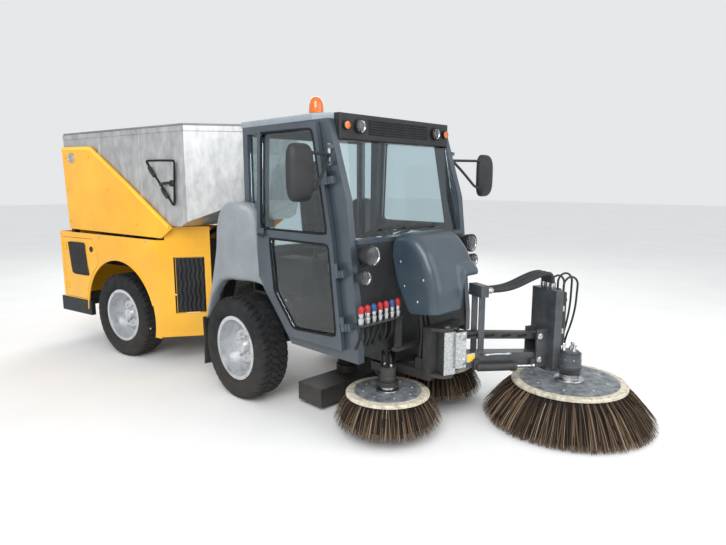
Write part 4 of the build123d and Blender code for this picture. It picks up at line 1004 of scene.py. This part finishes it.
# moulded acrylic: deep red with a clear band, glossy, ribbed inside
tail_lens, tree, shader = material("red_acrylic", "#8E0E12", 0.12, IOR=1.49, Coat_Weight=0.6)
mottle(tree, shader, "#7A0A0E", "#A31519", 40)
grain(tree, shader, 6, 0.5, strength=0.3)
wear("tail_lamps", tail_lens)

# ---- hopper -----------------------------------------------------------------------------
# A welded aluminium bin, its sheet finely sanded in swirls, with a folded lip round the
# top, a hinged lid and tailgate, and a three-cornered inspection hatch with a lever catch.
sanded_sheet, tree, shader = material("sanded_aluminium", "#B9BABA", 0.42, Metallic=0.75)
noise, ramp, mapping = mottle(tree, shader, "#A4A6A7", "#CACBCA", 55, 0.3, 0.7, (1, 1, 0.45))
rough = add(tree, "ShaderNodeMapRange", [("Value", noise.outputs["Fac"])], To_Min=0.34,
            To_Max=0.56)
tree.links.new(rough.outputs["Result"], shader.inputs["Roughness"])
grain(tree, shader, 9, 0.1, stretch=(1, 1, 0.3), strength=0.3)
for node_name in ("hopper_body", "hopper_tailgate", "inspection_hatch"):
    wear(node_name, sanded_sheet)
lid_paint, tree, shader = material("grey_lid_enamel", "#767D82", 0.45)
mottle(tree, shader, "#6B7277", "#80878C", 260)
grain(tree, shader, 2, 0.05, strength=0.2)
wear("hopper_lid", lid_paint)

half, front_x, corner_run, back_x = 620.0, 352.0, 303.0, -1590.0
lip_plan = [(back_x, -half), (front_x - corner_run, -half), (front_x, corner_run - half),
            (front_x, half - corner_run), (front_x - corner_run, half), (back_x, half)]
for number, (one, two) in enumerate(zip(lip_plan, lip_plan[1:])):
    one, two = np.array(one), np.array(two)
    away = np.array([(two - one)[1], -(two - one)[0]])
    away = away / np.linalg.norm(away)
    ends = np.stack([one, two])
    section = [(0.5, 1889), (7.0, 1889), (7.0, 1852), (0.5, 1850)]
    rows = np.stack([np.concatenate([ends + away * out, np.full((2, 1), z)], 1)
                     for out, z in section])
    belongs(surface(f"hopper_lip_{number}", rear(rows), sanded_sheet, crease=20), "hopper",
            "hopper_aluminium")
    length = np.linalg.norm(two - one)
    for seam_number, share in enumerate(np.linspace(0, 1, max(2, int(length / 480) + 1))[1:-1]):
        spot = one + (two - one) * share
        tall = 1850 if share < 0.9 else 1800
        low = 1160 if number in (0, 4) else 1350
        rib = np.array([[(*(spot + away * out + (two - one) / length * slip), z)
                         for slip, out in ((-16, 0.4), (-9, 4.5), (9, 4.5), (16, 0.4))]
                        for z in (low, tall)])
        belongs(surface(f"hopper_rib_{number}_{seam_number}", rear(rib), sanded_sheet,
                        crease=25), "hopper", "hopper_aluminium")

hatch_line = [(-225, -631, 1643), (-62, -631, 1638), (-54, -631, 1625), (-78, -631, 1305),
              (-90, -631, 1306), (-392, -631, 1635), (-388, -631, 1644), (-226, -631, 1643)]
belongs(tube("hatch_seal", hatch_line, 8, seal_rubber, place=rear, samples=200, sides=8),
        "hatch", "black_rubber")
for number, share in enumerate((0.25, 0.7)):
    x, z = -401 + share * 322, 1647 - share * 356
    knuckle = tube(f"hatch_hinge_{number}", [(x - 30, -636, z + 33), (x - 10, -641, z + 11),
                                             (x + 10, -641, z - 11), (x + 30, -636, z - 33)],
                   15, black_moulding, place=rear, samples=16)
    belongs(knuckle, "hatch", "black_plastic")
lever = tube("hatch_lever", [(-92, -644, 1470), (-130, -652, 1474), (-170, -656, 1468),
                             (-205, -652, 1455)], 11, black_moulding, place=rear, samples=24)
belongs(lever, "hatch", "black_plastic")
belongs(spun("hatch_boss", [(0, 0), (24, 0), (24, 10), (18, 18), (0, 20)],
             (-95, -628, 1470), (0, -1, 0), black_moulding, place=rear), "hatch",
        "black_plastic")

# ---- running gear and machinery ---------------------------------------------------------
# Welded chassis rails, frame joint, carriage and arms in black enamel under road dust;
# bright ground rods and a plated fan.
for node_name in ("front_chassis", "rear_chassis", "articulation_link", "suction_mouth",
                  "broom_carriage", "broom_arm_right", "broom_arm_left", "ram_barrels",
                  "boom_link", "power_pack"):
    wear(node_name, shelf_steel)
wear("boom_bracket", zinc_plate)
ground_steel, tree, shader = material("ground_steel", "#C4C7CA", 0.2, Metallic=1.0)
mottle(tree, shader, "#B2B5B8", "#D0D3D6", 30)
for node_name in ("ram_rods", "fan_impeller"):
    wear(node_name, ground_steel)
wear("suction_hose", flap_rubber)

# ---- boom and its broom head ------------------------------------------------------------
# A dark box-section arm below and a slotted link above swing the front brush. Bright
# rams lie along the arm; the head post carries upright valve cylinders and a motor.
boom_turn = math.atan2(620.0, 265.0)
boom_root = np.array([1345.0, -60.0, 0.0])


def boom(points):
    """Boom millimetres, X along the arm from the swing pin: turned, then moved to the pin."""
    c, s = math.cos(boom_turn), math.sin(boom_turn)
    return front(np.asarray(points, float) @ np.array([[c, s, 0], [-s, c, 0], [0, 0, 1]])
                 + boom_root)


# two-pack enamel over welded steel: dark grey, half gloss, dusty and scuffed
arm_enamel, tree, shader = material("dark_grey_enamel", "#343A40", 0.42, Coat_Weight=0.2)
mottle(tree, shader, "#2D3237", "#454B50", 90)
dust(tree, shader, "#7F786C", 900, 0.3)
grain(tree, shader, 3, 0.12, strength=0.3)
for node_name in ("boom_arm", "broom_post"):
    wear(node_name, arm_enamel)
# reflector: moulded prisms in amber acrylic
amber_prism, tree, shader = material("amber_reflector", "#F2B705", 0.15, IOR=1.49,
                                     Coat_Weight=0.6)
mottle(tree, shader, "#E8A800", "#FFD23A", 9)
grain(tree, shader, 5, 0.6, strength=0.6)


def slab(name, low, high, finish, place=front, edge=3.0):
    """A plate between two corners with its edges rounded."""
    (x0, y0, z0), (x1, y1, z1) = low, high
    points = place([(x, y, z) for x in (x0, x1) for y in (y0, y1) for z in (z0, z1)])
    made = put_mesh(name, points, [(0, 1, 3, 2), (4, 6, 7, 5), (0, 4, 5, 1), (2, 3, 7, 6),
                                   (0, 2, 6, 4), (1, 5, 7, 3)])
    work = bmesh.new()
    work.from_mesh(made.data)
    bmesh.ops.recalc_face_normals(work, faces=work.faces)
    bmesh.ops.bevel(work, geom=work.edges[:], offset=edge / 1000, segments=2, affect="EDGES",
                    profile=0.5)
    work.to_mesh(made.data)
    work.free()
    made.data.materials.append(finish)
    return made


belongs(slab("arm_reflector", (118, -45, 428), (166, -41, 470), amber_prism, boom, 1.2),
        "boom_arm", "lamp_lens")
belongs(slab("arm_reflector_plate", (112, -43, 422), (172, -40, 476), zinc_plate, boom, 1.0),
        "boom_arm", "bare_steel")
for name, end, body in (("inner", 75, "boom_bracket"), ("outer", 635, "broom_post")):
    drop = 0 if end == 75 else 60
    for level in (440, 590):
        for face in (-1, 1):
            cap = spun(f"pin_{name}_{level}_{'right' if face < 0 else 'left'}",
                       [(0, 0), (22, 0), (22, 6), (16, 10), (8, 10), (6, 6), (0, 6)],
                       (end, 58 * face, level - drop), (0, face, 0), zinc_plate, place=boom,
                       steps=24)
            belongs(cap, body, "bare_steel")
handle = [(215, -44, 462), (215, -84, 470), (235, -96, 474), (300, -98, 470), (385, -96, 460),
          (402, -84, 456), (402, -44, 446)]
belongs(tube("arm_handle", handle, 7, zinc_plate, place=boom, samples=50), "boom_arm",
        "bare_steel")
# lifting ram beside the arm: painted barrel, gland ring and bright rod
ram_from, ram_to = np.array((170.0, -64.0, 395.0)), np.array((585.0, -64.0, 352.0))
ram_along = ram_to - ram_from
belongs(spun("boom_ram_barrel", [(0, 0), (16, 0), (26, 10), (26, 250), (30, 252), (30, 276),
                                 (22, 280), (12, 280), (0, 278)],
             ram_from, ram_along, shelf_steel, place=boom, steps=32), "boom_arm",
        "chassis_steel")
belongs(spun("boom_ram_rod", [(0, 270), (11, 270), (11, 398), (18, 400), (18, 417), (0, 417)],
             ram_from, ram_along, ground_steel, place=boom, steps=24), "boom_arm",
        "bare_steel")
for number, x in enumerate((172, 583)):
    belongs(slab(f"boom_ram_lug_{number}", (x - 18, -66, 378 - number * 44),
                 (x + 18, -40, 440 - number * 44), shelf_steel, boom), "boom_arm",
            "chassis_steel")
# slots of the upper link: black slabs set on the face where the recesses are, as painted shade
for number, x in enumerate(np.linspace(160, 520, 4)):
    height = 590 - (x - 75) * 60 / 560
    belongs(slab(f"link_slot_painted_shade_{number}", (x - 34, -31.5, height - 7), (x + 34, -29, height + 7),
                 seal_rubber, boom, 1.0), "boom_link", "black_rubber")

# head post: three upright cylinders with black caps, a beige banded hose wrap, silver rod
beige_wrap, tree, shader = material("beige_fabric_wrap", "#A79A80", 0.85)
mottle(tree, shader, "#857A64", "#B3A78E", 14)
grain(tree, shader, 4, 0.5, stretch=(1, 1, 3))
for number, (x, y, low, high, radius) in enumerate(((779, -78, 470, 806, 22),
                                                    (783, -22, 430, 818, 25),
                                                    (779, 36, 470, 806, 22),
                                                    (779, 88, 450, 760, 17))):
    cylinder = spun(f"post_cylinder_{number}", [(0, low), (radius * 0.7, low),
                                                (radius, low + 8), (radius, high - 60),
                                                (radius + 3, high - 58), (radius + 3, high - 40),
                                                (radius, high - 38), (radius, high - 6),
                                                (radius * 0.8, high), (0, high)],
                    (x, y, 0), (0, 0, 1), shelf_steel, place=boom, steps=32)
    belongs(cylinder, "broom_post", "chassis_steel")
    belongs(spun(f"post_rod_{number}", [(0, 372), (8, 372), (8, low + 4), (0, low + 4)],
                 (x, y, 0), (0, 0, 1), ground_steel, place=boom, steps=20), "broom_post",
            "bare_steel")
for number, height in enumerate((548, 690)):
    belongs(slab(f"post_clamp_{number}", (752, -108, height), (770, 108, height + 34),
                 zinc_plate, boom, 2.0), "broom_post", "bare_steel")
belongs(slab("post_foot", (750, -100, 352), (806, 112, 376), arm_enamel, boom, 3.0),
        "broom_post", "slate_paint")
belongs(spun("post_wrap", [(0, 600), (33, 600), (36, 606), (36, 664), (33, 670), (0, 670)],
             (783, -22, 0), (0, 0, 1), beige_wrap, place=boom, steps=36), "broom_post",
        "black_plastic")
# braided hydraulic hose: black synthetic rubber cover, matt, a little grey with dust
hose_rubber, tree, shader = material("hydraulic_hose_rubber", "#141517", 0.5)
mottle(tree, shader, "#101113", "#222427", 35)
grain(tree, shader, 2, 0.15, strength=0.4)


def curve_points(route):
    """Points of the order 3 NURBS spline that has the route's points as control points."""
    data = bpy.data.curves.new("route", "CURVE")
    data.dimensions = "3D"
    data.resolution_u = 16
    spline = data.splines.new("NURBS")
    spline.points.add(len(route) - 1)
    for point, place in zip(spline.points, route):
        point.co = (*place, 1.0)
    spline.order_u = 3
    spline.use_endpoint_u = True
    holder = bpy.data.objects.new("route", data)
    bpy.context.scene.collection.objects.link(holder)
    bpy.context.view_layer.update()
    mesh = bpy.data.meshes.new_from_object(holder)
    points = np.empty(len(mesh.vertices) * 3)
    mesh.vertices.foreach_get("co", points)
    bpy.data.objects.remove(holder)
    return points.reshape(-1, 3)


def hose(name, route, diameter_mm, finish):
    """Circles of the hose's radius carried along the spline's own points, ends closed."""
    line = curve_points(route)
    ahead = np.gradient(line, axis=0)
    ahead /= np.linalg.norm(ahead, axis=1)[:, None]
    beside = np.cross(ahead, (0.93, 0.37, 0.02))
    beside /= np.linalg.norm(beside, axis=1)[:, None]
    above = np.cross(beside, ahead)
    turn = np.linspace(0, 2 * np.pi, 16, endpoint=False)[None, :, None]
    ring = (beside[:, None] * np.cos(turn) + above[:, None] * np.sin(turn))
    points = line[:, None] + ring * diameter_mm / 2000
    ends = [line[:1, None] + ring[:1] * 1e-5, points, line[-1:, None] + ring[-1:] * 1e-5]
    piece = surface(name, np.concatenate(ends), finish, closed_columns=True, crease=60)
    length = float(np.linalg.norm(np.diff(line, axis=0), axis=1).sum())
    return piece, line, length


head_routes = [[(783, -22, 818), (783, -22, 835), (783, -22, 880), (815, -23, 912),
                (859, -24, 912), (891, -25, 880), (891, -25, 835), (889, -24, 700),
                (872, -20, 590), (853, -14, 500), (850, -10, 442)],
               [(779, -78, 806), (779, -78, 820), (779, -78, 865), (811, -79, 897),
                (855, -80, 897), (887, -81, 865), (887, -80, 820), (885, -74, 690),
                (866, -62, 580), (842, -50, 500), (838, -44, 442)],
               [(779, 36, 806), (779, 36, 812), (779, 36, 857), (811, 37, 889),
                (855, 38, 889), (887, 38, 857), (887, 38, 812), (884, 36, 690),
                (866, 32, 580), (844, 26, 500), (840, 22, 442)]]
for number, route in enumerate(head_routes):
    piece, line, length = hose(f"head_hose_{number}", boom(route), 13, hose_rubber)
    belongs(piece, "broom_post", "black_rubber")
# the motor on the front brush: a steel drum with a bolted cap and three fittings
front_spot, right_spot, left_spot = (1785, 635), (1100, -300), (955, 350)
belongs(turned("motor_drum", [(0, 302), (40, 302), (42, 330), (72, 330), (74, 336), (74, 352),
                              (70, 356), (70, 392), (60, 404), (58, 436), (50, 444), (0, 446)],
               front_spot, arm_enamel, steps=48), "broom_post", "slate_paint")
turn = np.linspace(0, 2 * np.pi, 8, endpoint=False)


def bolt_circle(spot, radius, first, height):
    """Eight places at equal angles round a spot: x, y = spot + radius (cos, sin)."""
    return np.stack([spot[0] + radius * np.cos(turn + first),
                     spot[1] + radius * np.sin(turn + first), np.full(8, height)], 1)


belongs(screws("motor_bolts", bolt_circle(front_spot, 62, 0.0, 396), (0, 0, 1), 7, zinc_plate),
        "broom_post", "bare_steel")
for number, (x, y) in enumerate(((1755, 612), (1812, 622), (1772, 668))):
    belongs(spun(f"motor_fitting_{number}", [(0, 0), (13, 0), (13, 16), (9, 18), (9, 34),
                                             (14, 36), (14, 46), (0, 46)],
                 (x, y, 440), (0.2 * (number - 1), 0.3, 1), zinc_plate, steps=20),
            "broom_post", "bare_steel")
belongs(screws("disc_bolts_front", bolt_circle(front_spot, 225, 0.3, 260), (0, 0, 1), 9,
               zinc_plate), "brush_front", "bare_steel")
for name, (x, y) in (("right", right_spot), ("left", left_spot)):
    belongs(screws(f"disc_bolts_{name}", bolt_circle((x, y), 150, 0.2, 260), (0, 0, 1), 7,
                   zinc_plate), f"brush_{name}", "bare_steel")
    belongs(turned(f"side_motor_{name}", [(0, 290), (30, 290), (32, 314), (50, 316), (52, 322),
                                          (52, 340), (49, 344), (49, 392), (42, 404), (26, 408),
                                          (0, 408)], (x, y),
                   shelf_steel, steps=40), f"broom_arm_{name}", "chassis_steel")
    back_x, back_y = (-10, -91) if name == "left" else (-74, 54)
    for number, offset in enumerate((-25, 25)):
        top_x, end_x, end_y = x + offset, x + offset + back_x, y + back_y
        route = [(top_x, y, 404), (top_x, y, 411), (top_x, y, 447),
                 (top_x + back_x * 0.29, y + back_y * 0.29, 474),
                 (top_x + back_x * 0.71, y + back_y * 0.71, 474), (end_x, end_y, 447),
                 (end_x, end_y, 409), (end_x + 2, end_y, 360), (end_x, end_y, 317)]
        piece, line, length = hose(f"side_hose_{name}_{number}", front(route), 11, hose_rubber)
        belongs(piece, f"broom_arm_{name}", "black_rubber")
        for end, (fit_x, fit_y, height) in enumerate(((top_x, y, 402), (end_x, end_y, 316))):
            belongs(spun(f"side_fitting_{name}_{number}_{end}",
                         [(0, 0), (10, 0), (10, 14), (7, 18), (0, 18)], (fit_x, fit_y, height),
                         (0, 0, 1), zinc_plate, steps=16), f"broom_arm_{name}", "bare_steel")
# turned hubs that carry the discs on the motor shafts
for name, centre, radius, height in (("front", front_spot, 60, 300),
                                     ("right", right_spot, 40, 289),
                                     ("left", left_spot, 40, 289)):
    belongs(turned(f"hub_{name}", [(0, 246), (radius + 26, 246), (radius + 30, 250),
                                   (radius + 30, 262), (radius + 26, 266), (radius + 2, 270),
                                   (radius, 276), (radius, height - 2), (radius - 3, height),
                                   (0, height)], centre, zinc_plate, steps=56),
            f"brush_{name}", "bare_steel")

# ---- hydraulic hoses --------------------------------------------------------------------
# Free rubber hoses with swaged ends: three over the boom to the head post, three from
# inside the hood down to the carriage. Each follows one smooth curve.
boom_route = [(240, 846), (330, 842), (440, 852), (560, 896), (650, 922), (726, 916),
              (726, 822)]
carriage_route = [(1185, 0, 800), (1188, 0, 730), (1205, 6, 650), (1212, 4, 575),
                  (1206, 0, 505), (1204, 0, 442)]


for number, lane in enumerate((-42.0, 0.0, 42.0)):
    route = boom([(x, lane, z) for x, z in boom_route])
    piece, line, length = hose(f"boom_hose_{number}", route, 28, hose_rubber)
    if number == 0:
        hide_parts("boom_hoses")
    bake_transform(piece)
    for end, (x, z, axis) in enumerate(((238, 846, (1, 0, 0)), (726, 860, (0, 0, -1)))):
        collar = spun(f"boom_hose_collar_{number}_{end}",
                      [(0, 0), (19, 0), (19, 30), (15.5, 36), (15.5, 39), (0, 39)],
                      (x, lane, z), axis, zinc_plate, place=boom, steps=24)
        belongs(collar, "broom_post" if end else "boom_arm", "bare_steel")
for number, lane in enumerate((-128.0, -90.0, -52.0)):
    route = front([(x, y + lane, z) for x, y, z in carriage_route])
    piece, line, length = hose(f"carriage_hose_{number}", route, 22, hose_rubber)
    belongs(piece, "broom_carriage", "black_rubber",
            *(["carriage_hoses"] if number == 0 else []))
